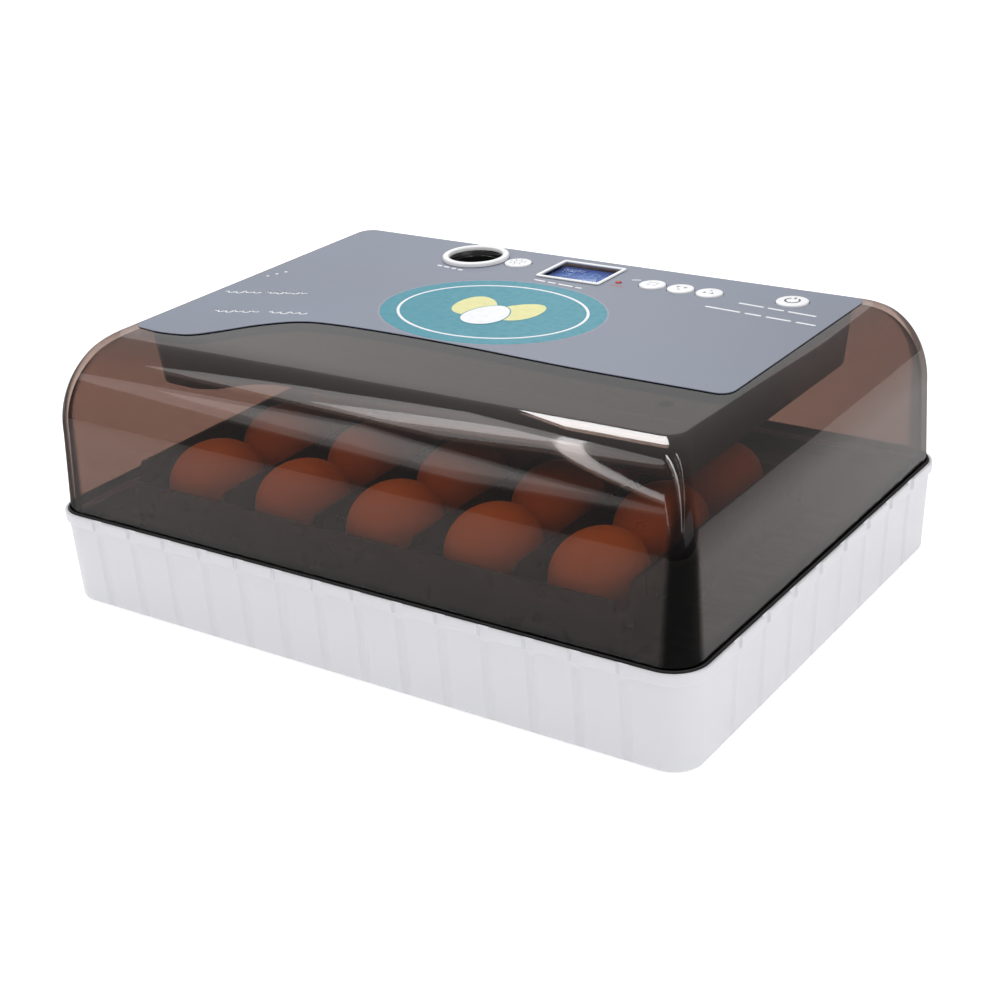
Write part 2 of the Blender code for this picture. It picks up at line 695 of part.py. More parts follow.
def lying_cylinder(name, x, y0, y1, z, radius, finish, sides=16):
    rings = [[(x + radius * math.cos(turn), y, z + radius * math.sin(turn))
              for turn in (2 * math.pi * i / sides for i in range(sides))] for y in (y0, y1)]
    return loft(name, rings, finish, 40)


def housing_outline():
    """Anticlockwise plan. The front edge swings forwards at its left end."""
    front = smooth_through(
        [(-169.0, -77.0), (-154.0, -77.0), (-140.0, -71.0), (-127.0, -57.0), (-112.0, -51.0), (-88.0, -52.0),
         (-45.0, -61.0), (0.0, -66.0), (60.0, -67.0), (132.0, -67.0)], 2)
    corners = ((HOUSING_RIGHT, -67.0, 14.0), (HOUSING_RIGHT, HOUSING_BACK, 12.0),
               (HOUSING_LEFT, HOUSING_BACK, 12.0), (HOUSING_LEFT, -77.0, 12.0))
    return close_round_front(front, corners)


def make_control_housing():
    outline = housing_outline()
    profile = ((HOUSING_DRAFT + 2.0, HOUSING_BOTTOM), (HOUSING_DRAFT, HOUSING_BOTTOM + 2.0), (0.0, HOUSING_TOP),
               (2.0, HOUSING_TOP), (HOUSING_DRAFT + 2.0, HOUSING_BOTTOM + HOUSING_FLOOR))
    rings = [at_height(inset_outline(outline, inset), z) for inset, z in profile]
    tray = loft("control_housing", rings, "housing_plastic")
    low = HOUSING_BOTTOM - 1.0
    high = HOUSING_BOTTOM + HOUSING_FLOOR + 1.0
    holes = [cylinder("fan_hole", FAN_X, FAN_Y, FAN_BORE, low, high, "housing_plastic", 32)]
    holes += [cylinder("hole", x, y, 1.8, low, high, "housing_plastic", 10) for x, y in SCREW_POINTS]
    holes.append(cylinder("probe_hole", 70.0, -20.0, 2.8, low, high, "housing_plastic", 12))
    cut(tray, one_mesh("floor_holes", holes))
    slots = [
        box("inlet_slot", INLET_X - 14.2, INLET_X + 14.2, 118.0, 140.0, INLET_Z - 8.7, INLET_Z + 8.7,
            "housing_plastic"),
        lying_cylinder("socket_slot", SOCKET_X, 118.0, 140.0, INLET_Z, 5.9, "housing_plastic"),
    ]
    return cut(tray, one_mesh("wall_slots", slots), smooth_angle=35)


def make_housing_screw(name, x, y):
    head_top = HOUSING_BOTTOM - GAP
    profile = ((2.0, head_top - 2.2), (3.4, head_top - 1.5), (3.4, head_top), (1.5, head_top), (1.5, 119.0))
    return lathe(name, x, y, profile, "steel", 10)


def film_outline():
    """Anticlockwise plan of the film. Its front edge swings forwards to the left end, as the housing's does."""
    front = smooth_through(
        [(-178.0, -82.2), (-165.0, -83.0), (-148.0, -79.0), (-137.0, -67.0), (-124.0, -49.0), (-108.0, -35.0),
         (-88.0, -29.5), (-50.0, -27.5), (0.0, -28.0), (70.0, -31.0), (140.0, -31.0)], 2)
    corners = ((FILM_RIGHT, -31.0, 8.0), (FILM_RIGHT, FILM_BACK, 7.0),
               (FILM_LEFT, FILM_BACK, 8.0), (FILM_LEFT, -82.0, 7.5))
    return close_round_front(front, corners)


def make_panel_film():
    film = prism("panel_film", film_outline(), FILM_BOTTOM, FILM_TOP, "panel_grey")
    return cut(film, panel_cutters(FILM_BOTTOM - 1.0, FILM_TOP + 1.0, 17.6, 19.4, 14.9))


def make_candler():
    ring_low = FILM_TOP + GAP
    ring_high = FILM_TOP + 2.7
    ring = lathe("candler_ring", *CANDLER,
                 ((20.3, ring_low), (20.3, ring_high - 1.0), (19.4, ring_high), (17.4, ring_high),
                  (16.4, ring_high - 1.0), (16.4, ring_low)), "ring_white", 24, 40, closed=True)
    cup_floor = 119.0
    flange_top = LID_TOP - LID_WALL - GAP
    cup = lathe("candler_cup", *CANDLER,
                ((11.0, cup_floor - 2.0), (14.0, cup_floor), (16.9, flange_top - 1.8), (18.4, flange_top - 1.8),
                 (18.4, flange_top), (17.2, flange_top), (17.2, FILM_TOP), (15.6, FILM_TOP), (12.4, cup_floor + 2.0),
                 (10.5, cup_floor)), "black_plastic", 20)
    low = cup_floor + GAP
    led = lathe("candler_led", *CANDLER,
                ((6.0, low), (6.0, low + 1.6), (3.6, low + 1.6), (3.6, low + 3.0), (2.6, low + 4.6),
                 (1.0, low + 5.4)), "led_white", 12)
    return [ring, cup, led]


def make_display():
    x, y = DISPLAY
    low = FILM_TOP + GAP
    high = low + 0.8
    outline = rounded_rectangle(x - 21.5, x + 21.5, y - 17.0, y + 17.0, 1.5, 2)
    inner = rounded_rectangle(x - 19.3, x + 19.3, y - 14.8, y + 14.8, 0.8, 2)
    rings = [at_height(outline, low), at_height(outline, high), at_height(inner, high), at_height(inner, low)]
    bezel = loft("display_bezel", rings, "ring_white", closed=True)
    half_x = 20.5
    half_y = 15.8
    window_low = LID_TOP - 1.6
    window = box("display_window", x - half_x, x + half_x, y - half_y, y + half_y, window_low, LID_TOP, "clear_window")
    module = box("display_module", x - half_x, x + half_x, y - half_y, y + half_y, 131.5, window_low - GAP,
                 "display_blue")
    return [bezel, window, module]


def make_alarm_lamp():
    profile = ((1.8, 129.0), (1.8, FILM_TOP + 0.2), (1.2, FILM_TOP + 0.8), (0.4, FILM_TOP + 1.0))
    return lathe("alarm_lamp", *LAMP, profile, "lamp_red", 10)


def make_key(name):
    """A round cap on a stem, held in by a flange under the lid's top."""
    x, y, radius = KEYS[name]
    under = LID_TOP - LID_WALL - GAP
    flange = radius + 1.0
    profile = ((2.5, 131.6), (2.5, under - 1.2), (flange, under - 1.2), (flange, under), (radius, under),
               (radius, KEY_TOP - 0.6), (radius - 0.7, KEY_TOP))
    key = lathe(name, x, y, profile, "key_white", 14)
    set_origin(key, x, y, FILM_TOP)
    return key


def make_boards():
    """Main board under the panel with a switch under each key, and the power board beside the fan."""
    board_low = 126.0
    board_high = 127.6
    main = box("main_board", -68.0, 142.0, 96.0, 127.0, board_low, board_high, "board_green")
    switches = []
    for x, y, _ in KEYS.values():
        switches.append(box("switch", x - 3.0, x + 3.0, y - 3.0, y + 3.0, board_high - 0.5, 130.3, "board_green"))
    switches.append(box("chip", -4.0, 12.0, 97.0, 99.5, board_high - 0.5, 130.0, "board_green"))
    join(main, one_mesh("switches", switches))
    power_low = HOUSING_BOTTOM + HOUSING_FLOOR + 2.0
    power = box("power_board", 42.0, 122.0, -40.0, 60.0, power_low, power_low + 1.6, "board_green")
    parts = [
        box("transformer", 88.0, 116.0, 20.0, 48.0, power_low + 1.0, power_low + 22.0, "board_green"),
        box("relay", 50.0, 66.0, 36.0, 55.0, power_low + 1.0, power_low + 15.0, "board_green"),
        cylinder("capacitor", 60.0, 12.0, 6.0, power_low + 1.0, power_low + 19.0, "board_green", 12),
        cylinder("capacitor", 104.0, -8.0, 5.0, power_low + 1.0, power_low + 15.0, "board_green", 12),
        box("heat_sink", 88.0, 114.0, -34.0, -28.0, power_low + 1.0, power_low + 18.0, "board_green"),
    ]
    join(power, one_mesh("power_parts", parts))
    return [main, power]


# ---------------------------------------------------------------- fan, heater and sensors

def make_fan_frame():
    half = 30.0
    outline = rounded_rectangle(FAN_X - half, FAN_X + half, FAN_Y - half, FAN_Y + half, 4.0, 7)
    bore = [(FAN_X + FAN_BORE * math.cos(turn), FAN_Y + FAN_BORE * math.sin(turn))
            for turn in (math.radians(1.5 + 87.0 * i / 7 + 90 * corner) for corner in range(4) for i in range(8))]
    rings = [at_height(outline, FAN_LOW), at_height(outline, FAN_HIGH), at_height(bore, FAN_HIGH),
             at_height(bore, FAN_LOW)]
    frame = loft("fan_frame", rings, "black_plastic", closed=True)
    arm = 1.6
    struts = box("strut", FAN_X - FAN_BORE - 1.0, FAN_X + FAN_BORE + 1.0, FAN_Y - arm, FAN_Y + arm, FAN_HIGH - 2.0,
                 FAN_HIGH - 0.3, "black_plastic")
    cross = box("strut", FAN_X - arm, FAN_X + arm, FAN_Y - FAN_BORE - 1.0, FAN_Y + FAN_BORE + 1.0, FAN_HIGH - 2.1,
                FAN_HIGH - 0.4, "black_plastic")
    disc = cylinder("motor_base", FAN_X, FAN_Y, 12.0, FAN_HIGH - 2.2, FAN_HIGH - 0.2, "black_plastic", 20)
    join(frame, struts)
    join(frame, cross)
    return join(frame, disc, smooth_angle=35)


def make_fan_impeller():
    """Hub with seven twisted blades."""
    low = FAN_LOW + 1.6
    high = FAN_HIGH - 2.7
    hub = lathe("fan_impeller", FAN_X, FAN_Y, ((12.0, low), (13.0, low + 1.0), (13.0, high)), "black_plastic", 21)
    blades = []
    blade_count = 7
    for i in range(blade_count):
        middle = 2 * math.pi * i / blade_count
        rings = []
        for radius, twist in ((11.5, 0.42), (18.5, 0.34), (26.3, 0.28)):
            section = ((-twist, high - 0.6), (-twist + 0.09, high - 0.6), (twist, low + 0.6), (twist - 0.09, low + 0.6))
            rings.append([(FAN_X + radius * math.cos(middle + turn), FAN_Y + radius * math.sin(middle + turn), z)
                          for turn, z in section])
        blades.append(loft("blade", rings, "black_plastic"))
    join(hub, one_mesh("blades", blades), smooth_angle=40)
    set_origin(hub, FAN_X, FAN_Y, low)
    return hub


def make_fan_guard():
    """Round grille under the fan: rings joined by spokes."""
    low = HOUSING_BOTTOM - GAP - 2.0
    high = HOUSING_BOTTOM - GAP
    disc = cylinder("fan_guard", FAN_X, FAN_Y, 33.0, low, high, "black_plastic", 24)
    gaps = []
    spokes = 4
    for inner, outer in ((6.0, 12.5), (15.0, 20.5), (23.0, 28.5)):
        for quarter in range(spokes):
            spread = math.pi / spokes - 1.6 / inner * 0.5
            middle = 2 * math.pi * (quarter + 0.5) / spokes
            steps = 3
            turns = [middle - spread + 2 * spread * i / steps for i in range(steps + 1)]
            outline = [(FAN_X + outer * math.cos(turn), FAN_Y + outer * math.sin(turn)) for turn in turns]
            outline += [(FAN_X + inner * math.cos(turn), FAN_Y + inner * math.sin(turn)) for turn in reversed(turns)]
            gaps.append(prism("gap", outline, low - 1.0, high + 1.0, "black_plastic"))
    return cut(disc, one_mesh("gaps", gaps), smooth_angle=30)


def make_heater_ring():
    ring_radius = 38.5
    tube_radius = 2.2
    middle_z = HOUSING_BOTTOM - 0.5 - tube_radius
    profile = [(ring_radius + tube_radius * math.cos(turn), middle_z + tube_radius * math.sin(turn))
               for turn in (2 * math.pi * i / 6 for i in range(6))]
    return lathe("heater_ring", FAN_X, FAN_Y, profile, "heater_metal", 24, 60, closed=True)


def make_sensors():
    probe = lathe("sensor_probe", 70.0, -20.0,
                  ((1.2, 93.6), (2.4, 95.0), (2.4, 103.6), (4.4, 103.6), (4.4, HOUSING_BOTTOM - GAP),
                   (2.4, HOUSING_BOTTOM - GAP), (2.4, 110.0)), "steel", 12)
    high = HOUSING_BOTTOM - GAP
    humidity = box("humidity_sensor", -98.0, -80.0, 4.0, 18.0, high - 6.0, high, "key_white")
    slots = [box("slot", -96.0, -82.0, low, low + 1.6, high - 7.0, high - 4.5, "key_white")
             for low in (6.0, 9.4, 12.8)]
    return [probe, cut(humidity, one_mesh("slots", slots))]


def make_mains_inlet():
    """Figure-eight style inlet: a block with a deep pocket and two pins."""
    face_y = 139.5
    block = box("mains_inlet", INLET_X - 13.8, INLET_X + 13.8, 112.0, face_y, INLET_Z - 8.3, INLET_Z + 8.3 - 2.0,
                "black_plastic")
    outline = rounded_rectangle(INLET_X - 10.0, INLET_X + 10.0, INLET_Z - 6.0, INLET_Z + 4.0, 4.6, 4)
    pocket = loft("pocket", [[(x, y, z) for x, z in outline] for y in (125.0, 145.0)], "black_plastic")
    cut(block, pocket)
    pins = [lying_cylinder("pin", INLET_X + side * 4.3, 124.0, 135.0, INLET_Z - 1.0, 1.2, "steel", 10)
            for side in (-1, 1)]
    return join(block, one_mesh("pins", pins), smooth_angle=35)


def make_dc_socket():
    face_y = 139.5
    barrel = lying_cylinder("dc_socket", SOCKET_X, 118.0, face_y, INLET_Z, 5.5, "black_plastic")
    bore = lying_cylinder("bore", SOCKET_X, 127.0, 145.0, INLET_Z, 3.4, "black_plastic")
    cut(barrel, bore)
    return join(barrel, lying_cylinder("pin", SOCKET_X, 126.0, 136.0, INLET_Z, 1.0, "steel", 10), smooth_angle=35)


# ---------------------------------------------------------------- assembly

def build():
    clear_scene()

    make_base_tub()
    make_rim_seal()
    make_water_tray()
    make_egg_floor()
    make_motor_bracket()
    make_turner_motor()
    make_motor_screw("motor_screw_1", -30.0)
    make_motor_screw("motor_screw_2", 30.0)
    make_drive_pinion()

    turner = [make_turner_frame(), *make_dividers(), *make_eggs()]
    group("turner_slide", 0.0, 0.0, FRAME_BOTTOM, turner)

    lid = [make_lid_shell(), make_control_housing(), make_panel_film(), *make_candler(), *make_display()]
    lid += [make_housing_screw(f"housing_screw_{i + 1}", x, y) for i, (x, y) in enumerate(SCREW_POINTS)]
    lid += [make_key(name) for name in KEYS]
    lid += [make_alarm_lamp(), *make_boards(), make_fan_frame(), make_fan_impeller(), make_fan_guard()]
    lid += [make_heater_ring(), *make_sensors(), make_mains_inlet(), make_dc_socket()]
    group("lid_lift", 0.0, 0.0, LEDGE_TOP, lid)


build()
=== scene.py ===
"""Looks of a table-top egg incubator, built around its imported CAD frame.

Shapes are worked out in millimetres, in the CAD model's frame, and mesh_piece turns them into metres.
+X runs along the long side, +Y to the back and +Z up. Finer versions of the parts stand for the CAD nodes.
"""
import json
import math

import bmesh
import bpy
from mathutils import Matrix, Vector

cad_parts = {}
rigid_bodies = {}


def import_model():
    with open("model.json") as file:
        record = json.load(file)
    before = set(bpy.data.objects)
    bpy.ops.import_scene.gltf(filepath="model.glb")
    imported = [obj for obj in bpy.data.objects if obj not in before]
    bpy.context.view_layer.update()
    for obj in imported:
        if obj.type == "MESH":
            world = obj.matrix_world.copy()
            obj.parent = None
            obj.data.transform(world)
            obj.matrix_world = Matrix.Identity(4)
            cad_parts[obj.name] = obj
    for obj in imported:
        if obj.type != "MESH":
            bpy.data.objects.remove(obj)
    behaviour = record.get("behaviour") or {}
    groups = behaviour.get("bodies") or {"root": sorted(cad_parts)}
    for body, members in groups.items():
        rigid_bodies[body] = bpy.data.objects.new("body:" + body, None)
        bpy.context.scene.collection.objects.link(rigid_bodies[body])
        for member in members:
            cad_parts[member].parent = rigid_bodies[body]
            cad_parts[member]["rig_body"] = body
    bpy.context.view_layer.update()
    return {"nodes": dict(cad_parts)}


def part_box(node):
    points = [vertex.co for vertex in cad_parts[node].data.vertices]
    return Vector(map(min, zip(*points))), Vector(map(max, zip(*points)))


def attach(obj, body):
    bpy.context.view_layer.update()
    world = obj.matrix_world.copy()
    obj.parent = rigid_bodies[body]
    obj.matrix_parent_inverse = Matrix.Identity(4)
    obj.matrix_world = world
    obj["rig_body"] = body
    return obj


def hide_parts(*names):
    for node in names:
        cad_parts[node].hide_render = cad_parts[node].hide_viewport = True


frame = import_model()

MM = 0.001
GAP = 0.3

# Base tub
BASE_LENGTH = 400.0
BASE_WIDTH = 300.0
CORNER_RADIUS = 20.0
RIM_TOP = 53.5
LEDGE_TOP = 49.7
LIP_INNER_INSET = 1.8
LEDGE_INNER_INSET = 5.8
TUB_FLOOR_TOP = 3.1
FRONT_GROOVES = 14
FRONT_GROOVE_PITCH = 25.3
SIDE_GROOVES = 8
SIDE_GROOVE_PITCH = 29.6
GROOVE_TOP = 46.0
GROOVE_DEPTH = 1.0
GROOVE_HALF_FLOOR = 1.1
GROOVE_HALF_MOUTH = 3.4
LIP_BOTTOM = 46.9
FOOT_INSET = 3.9
RIM_INSET = 1.7

# Eggs
EGG_RADIUS = 23.2
EGG_HALF_LENGTH = 29.5
EGG_TAPER = 0.13

# Lid
LID_TOP = 141.0
LID_WALL = 2.5
LID_INSET = 3.4
LID_SHOULDER = 97.0
LID_FLAT_FRONT = -86.0
LID_FLAT_RIGHT = 158.0
LID_FLAT_LEFT = -188.5
LID_FLAT_BACK = 136.5
SHOULDER_POWER = 2.2
EDGE_RADIUS = 6.0
EDGE_START = LID_TOP - EDGE_RADIUS
HOUSING_BOTTOM = 106.0
HOUSING_TOP = LID_TOP - LID_WALL - 0.4
HOUSING_FLOOR = 2.5
HOUSING_LEFT = -185.0
HOUSING_RIGHT = 154.0
HOUSING_BACK = 133.0
HOUSING_FRONT = -67.0
HOUSING_DRAFT = 4.0
SCREW_HOLE = 1.8
SCREW_POINTS = ((-168.0, 112.0), (132.0, 84.0), (-166.0, -58.0), (132.0, -48.0))

# Control panel
FILM_BOTTOM = LID_TOP + 0.25
FILM_TOP = FILM_BOTTOM + 0.4
FILM_LEFT = -187.5
FILM_RIGHT = 157.0
FILM_BACK = 135.5
FILM_FRONT = -31.0
INK_LOW = FILM_TOP + 0.02
INK_HIGH = FILM_TOP + 0.08
KEYS = ("candler_key", "set_key", "down_key", "up_key", "power_key")
CANDLER_HOLE = 17.6
CANDLER_FLOOR = 119.0
RING_OUTER = 20.3
RING_INNER = 16.4
BEZEL_HOLE_HALF_X = 19.3
BEZEL_HOLE_HALF_Y = 14.8

# Fan and sockets
FAN_BORE = 28.0
SOCKETS_Z = 118.5
INLET_HALF_X = 14.2
INLET_HALF_Z = 8.7
SOCKET_HOLE = 5.9

# Round corners and lights
LID_CORNER_STEPS = 14
ROUND_CORNER_STEPS = 10
LIGHT_TARGET = Vector((0.0, 0.0, 0.1))


# ---- places read from the frame

def node_box(node):
    low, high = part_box(node)
    return low / MM, high / MM


def middle(node):
    """The middle of a node's box in plan, in millimetres."""
    low, high = node_box(node)
    return (low.x + high.x) / 2, (low.y + high.y) / 2


def body_of(node):
    return frame["nodes"][node]["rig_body"]


CANDLER = middle("candler_ring")
DISPLAY = middle("display_bezel")
LAMP = middle("alarm_lamp")
FAN = middle("fan_frame")
PROBE = middle("sensor_probe")
INLET_X = middle("mains_inlet")[0]
SOCKET_X = middle("dc_socket")[0]


# ---- materials

class Shader:
    """A material with a Principled shader, and short ways to add nodes to it."""

    def __init__(self, name, **inputs):
        self.material = bpy.data.materials.new(name)
        self.material.use_nodes = True
        self.tree = self.material.node_tree
        self.surface = self.tree.nodes["Principled BSDF"]
        self.place = self.add("TexCoord").outputs["Object"]
        for key, value in inputs.items():
            self.set(key.replace("_", " ").title(), value)

    def add(self, kind, inputs=None, **settings):
        node = self.tree.nodes.new("ShaderNode" + kind)
        for key, value in settings.items():
            setattr(node, key, value)
        for key, value in (inputs or {}).items():
            self.put(node.inputs[key], value)
        return node

    def put(self, socket, value):
        if isinstance(value, bpy.types.NodeSocket):
            self.tree.links.new(value, socket)
        else:
            socket.default_value = value

    def set(self, name, value):
        """Set or link one of the Principled shader's sockets."""
        if isinstance(value, tuple) and len(value) == 3 and name.endswith("Color"):
            value = (*value, 1.0)
        self.put(self.surface.inputs[name], value)

    def finish(self, colour, roughness, normal):
        self.set("Base Color", colour)
        self.set("Roughness", roughness)
        self.set("Normal", normal)
        return self.material

    def noise(self, scale, detail=2.0, stretch=None):
        place = self.place
        if stretch:
            place = self.add("Mapping", {"Vector": self.place, "Scale": stretch}).outputs[0]
        return self.add("TexNoise", {"Vector": place, "Scale": scale, "Detail": detail}).outputs["Fac"]

    def cells(self, scale, feature="F1"):
        node = self.add("TexVoronoi", {"Vector": self.place, "Scale": scale}, feature=feature)
        return node.outputs["Distance"]

    def remap(self, value, low, high, out_low, out_high):
        inputs = {"Value": value, "From Min": low, "From Max": high, "To Min": out_low, "To Max": out_high}
        return self.add("MapRange", inputs).outputs["Result"]

    def blend(self, factor, first, second):
        first = first if isinstance(first, bpy.types.NodeSocket) else (*first, 1.0)
        second = second if isinstance(second, bpy.types.NodeSocket) else (*second, 1.0)
        return self.add("Mix", {0: factor, 6: first, 7: second}, data_type="RGBA").outputs[2]

    def math(self, operation, first, second=0.0):
        return self.add("Math", {0: first, 1: second}, operation=operation).outputs[0]

    def relief(self, height, depth, normal=None):
        inputs = {"Height": height, "Distance": depth * MM, "Strength": 1.0}
        if normal:
            inputs["Normal"] = normal
        return self.add("Bump", inputs).outputs["Normal"]


def shaded(colour, factor):
    return tuple(min(channel * factor, 1.0) for channel in colour)


def moulded(name, colour, roughness, grain=1100.0, depth=0.012, tone=0.035, patch=14.0, **inputs):
    """Moulded plastic: a fine eroded grain, slow changes of tone and unevenly polished patches."""
    shader = Shader(name, **inputs)
    mottled = shader.blend(shader.noise(patch, 3.0), shaded(colour, 1 - tone), shaded(colour, 1 + tone))
    polish = shader.remap(shader.noise(90.0, 4.0), 0.3, 0.7, roughness - 0.05, roughness + 0.06)
    return shader.finish(mottled, polish, shader.relief(shader.noise(grain, 2.0), depth))


def worn_black(name, colour, roughness, wear):
    """Black inner plastic with a dusty bloom and fine straight scuffs."""
    shader = Shader(name)
    dust = shader.remap(shader.noise(35.0, 6.0), 0.45, 0.75, 0.0, wear)
    scuff = shader.remap(shader.noise(60.0, 3.0, (1.0, 14.0, 4.0)), 0.62, 0.7, 0.0, wear)
    dusty = shader.blend(dust, colour, (0.09, 0.085, 0.08))
    scuffed = shader.blend(scuff, dusty, (0.13, 0.125, 0.12))
    polish = shader.remap(shader.noise(120.0, 4.0), 0.3, 0.7, roughness - 0.06, roughness + 0.1)
    return shader.finish(scuffed, polish, shader.relief(shader.noise(1500.0, 2.0), 0.02))


def metal(name, colour, roughness, stretch):
    """Drawn or rolled metal with fine lines along one way."""
    shader = Shader(name, metallic=1.0)
    lines = shader.noise(500.0, 3.0, stretch)
    mottled = shader.blend(shader.noise(40.0, 4.0), shaded(colour, 0.85), shaded(colour, 1.1))
    polish = shader.remap(lines, 0.3, 0.7, roughness - 0.08, roughness + 0.1)
    return shader.finish(mottled, polish, shader.relief(lines, 0.008))


def egg_shell():
    """Brown hen's egg: each egg its own tone, with a cloudy bloom, small dark specks and pores."""
    shader = Shader("egg_shell", subsurface_weight=0.12, subsurface_scale=0.002)
    shader.set("Subsurface Radius", (1.0, 0.45, 0.25))
    shader.set("Specular IOR Level", 0.35)
    tone = shader.remap(shader.noise(9.0, 1.0), 0.35, 0.65, 0.0, 1.0)
    body = shader.blend(tone, EGG_DARK, EGG_LIGHT)
    cloud = shader.remap(shader.noise(110.0, 5.0), 0.4, 0.75, 0.0, 0.35)
    cloudy = shader.blend(cloud, body, shaded(EGG_LIGHT, 1.12))
    speck_size = shader.remap(shader.noise(60.0, 2.0), 0.45, 0.7, 0.0, 0.34)
    specks = shader.math("LESS_THAN", shader.cells(520.0), speck_size)
    speckled = shader.blend(shader.math("MULTIPLY", specks, 0.35), cloudy, EGG_SPECK)
    pores = shader.relief(shader.remap(shader.cells(1300.0), 0.0, 0.35, 0.0, 1.0), 0.008)
    skin = shader.relief(shader.noise(420.0, 3.0), 0.012, normal=pores)
    return shader.finish(speckled, shader.remap(cloud, 0.0, 0.35, 0.42, 0.6), skin)


def corner_shade_mask(shader, normal):
    """1 where the wall turns an upright corner and 0 on flat walls: the mask for the painted shade down the
    lid's corners.
    """
    turn = shader.math("ABSOLUTE", shader.math("MULTIPLY", normal[0], normal[1]))
    return shader.remap(turn, 0.05, 0.26, 0.0, 1.0)


def smoke_clear(name, face_on, edge_on, roughness, least_gloss, most_gloss, ripple_depth, paint_corner_shade=False):
    """Clear tinted plastic, deeper in tint and glossier at a slant. The upright corners can get painted
    shade: a darker tint and less gloss.
    """
    shader = Shader(name)
    facing = shader.add("LayerWeight", {"Blend": 0.5}).outputs["Facing"]
    ripple = shader.relief(shader.noise(22.0, 0.0), ripple_depth)
    haze = shader.remap(shader.noise(70.0, 5.0), 0.45, 0.8, roughness, roughness + 0.05)
    tint = shader.blend(shader.math("POWER", facing, 2.0), face_on, edge_on)
    rise = shader.math("MULTIPLY", shader.math("POWER", facing, 3.0), most_gloss)
    mirror = shader.math("ADD", rise, least_gloss)
    if paint_corner_shade:
        # Painted shade: the upright corners get a darker tint and their gloss is cut.
        normal = shader.add("SeparateXYZ", {0: shader.add("TexCoord").outputs["Normal"]}).outputs
        corner = corner_shade_mask(shader, normal)
        tint = shader.blend(shader.math("MULTIPLY", corner, 0.8), tint, shaded(edge_on, 0.35))
        upright = shader.remap(normal[2], 0.15, 0.5, 0.75, 0.0)
        dulled = shader.math("MULTIPLY", corner, upright)
        mirror = shader.math("MULTIPLY", mirror, shader.math("SUBTRACT", 1.0, dulled))
    clear = shader.add("BsdfTransparent", {"Color": tint}).outputs[0]
    gloss = shader.add("BsdfGlossy", {"Roughness": haze, "Normal": ripple}).outputs[0]
    mixed = shader.add("MixShader", {0: mirror, 1: clear, 2: gloss}).outputs[0]
    output = next(node for node in shader.tree.nodes if node.type == "OUTPUT_MATERIAL")
    shader.tree.links.new(mixed, output.inputs["Surface"])
    return shader.material


def screen():
    """Blue liquid-crystal panel with cloudy backlight and a faint grid of cells."""
    shader = Shader("display_screen", roughness=0.25)
    cloud = shader.remap(shader.noise(85.0, 4.0), 0.35, 0.65, 0.0, 1.0)
    blue = shader.blend(cloud, (0.035, 0.075, 0.25), (0.075, 0.14, 0.40))
    wires = shader.math("LESS_THAN", shader.cells(900.0, "DISTANCE_TO_EDGE"), 0.06)
    lined = shader.blend(shader.math("MULTIPLY", wires, 0.3), blue, (0.02, 0.04, 0.14))
    shader.set("Base Color", lined)
    shader.set("Emission Color", lined)
    shader.set("Emission Strength", 0.55)
    return shader.material


def circuit_board():
    """Dark green lacquered board with copper tracks under the lacquer."""
    shader = Shader("circuit_board", roughness=0.35)
    tracks = shader.math("LESS_THAN", shader.cells(130.0, "DISTANCE_TO_EDGE"), 0.045)
    shader.set("Base Color", shader.blend(tracks, (0.010, 0.045, 0.022), (0.03, 0.11, 0.05)))
    shader.set("Normal", shader.relief(tracks, 0.04))
    return shader.material


def film_sheet():
    """Grey printed overlay with a fine velvet texture and faint rubbed patches."""
    shader = Shader("panel_film_print")
    shader.set("Specular IOR Level", 0.3)
    rubbed = shader.remap(shader.noise(9.0, 5.0), 0.35, 0.7, 0.0, 1.0)
    grey = shader.blend(rubbed, shaded(FILM_GREY, 0.94), shaded(FILM_GREY, 1.05))
    velvet = shader.relief(shader.noise(3200.0, 1.0), 0.008)
    return shader.finish(grey, shader.remap(rubbed, 0.0, 1.0, 0.46, 0.56), velvet)


def ink(name, colour, roughness=0.45):
    """Screen-printed ink, thin enough in places for its ground to dull it."""
    shader = Shader(name)
    thin = shader.remap(shader.noise(260.0, 4.0), 0.45, 0.8, 0.0, 0.35)
    dulled = shader.blend(thin, colour, shaded(colour, 0.8))
    polish = shader.remap(thin, 0.0, 0.35, roughness, roughness + 0.12)
    return shader.finish(dulled, polish, shader.relief(shader.noise(2400.0, 1.0), 0.006))


EGG_DARK = (0.80, 0.245, 0.045)
EGG_LIGHT = (0.94, 0.325, 0.070)
EGG_SPECK = (0.24, 0.085, 0.035)
FILM_GREY = (0.222, 0.245, 0.305)
TEAL = (0.018, 0.235, 0.31)

WHITE_TUB = moulded("white_tub_plastic", (0.73, 0.73, 0.765), 0.36, depth=0.016, tone=0.012)
SEAL_RUBBER = moulded("seal_rubber_black", (0.008, 0.008, 0.008), 0.62, 700.0, 0.03)
TRAY_BLACK = worn_black("tray_black_plastic", (0.014, 0.013, 0.013), 0.42, 0.25)
FLOOR_BLACK = worn_black("egg_floor_black_plastic", (0.013, 0.012, 0.012), 0.36, 0.4)
TURNER_BLACK = worn_black("turner_black_plastic", (0.013, 0.012, 0.012), 0.3, 0.3)
HOUSING_BLACK = moulded("housing_dark_plastic", (0.020, 0.018, 0.018), 0.34, 1400.0, 0.005, 0.15)
FAN_BLACK = moulded("fan_black_plastic", (0.012, 0.012, 0.013), 0.38, 1300.0, 0.015, 0.1)
WELL_BLACK = moulded("candler_well_plastic", (0.006, 0.006, 0.006), 0.16, 800.0, 0.01)
SOCKET_BLACK = moulded("socket_black_plastic", (0.010, 0.010, 0.011), 0.5, 1200.0, 0.02)
RING_WHITE = moulded("ring_white_plastic", (0.86, 0.86, 0.87), 0.32, 1500.0, 0.01, 0.015, 60.0)
KEY_WHITE = moulded("key_white_plastic", (0.83, 0.83, 0.85), 0.34, 1400.0, 0.012, 0.02, 80.0, coat_weight=0.2)
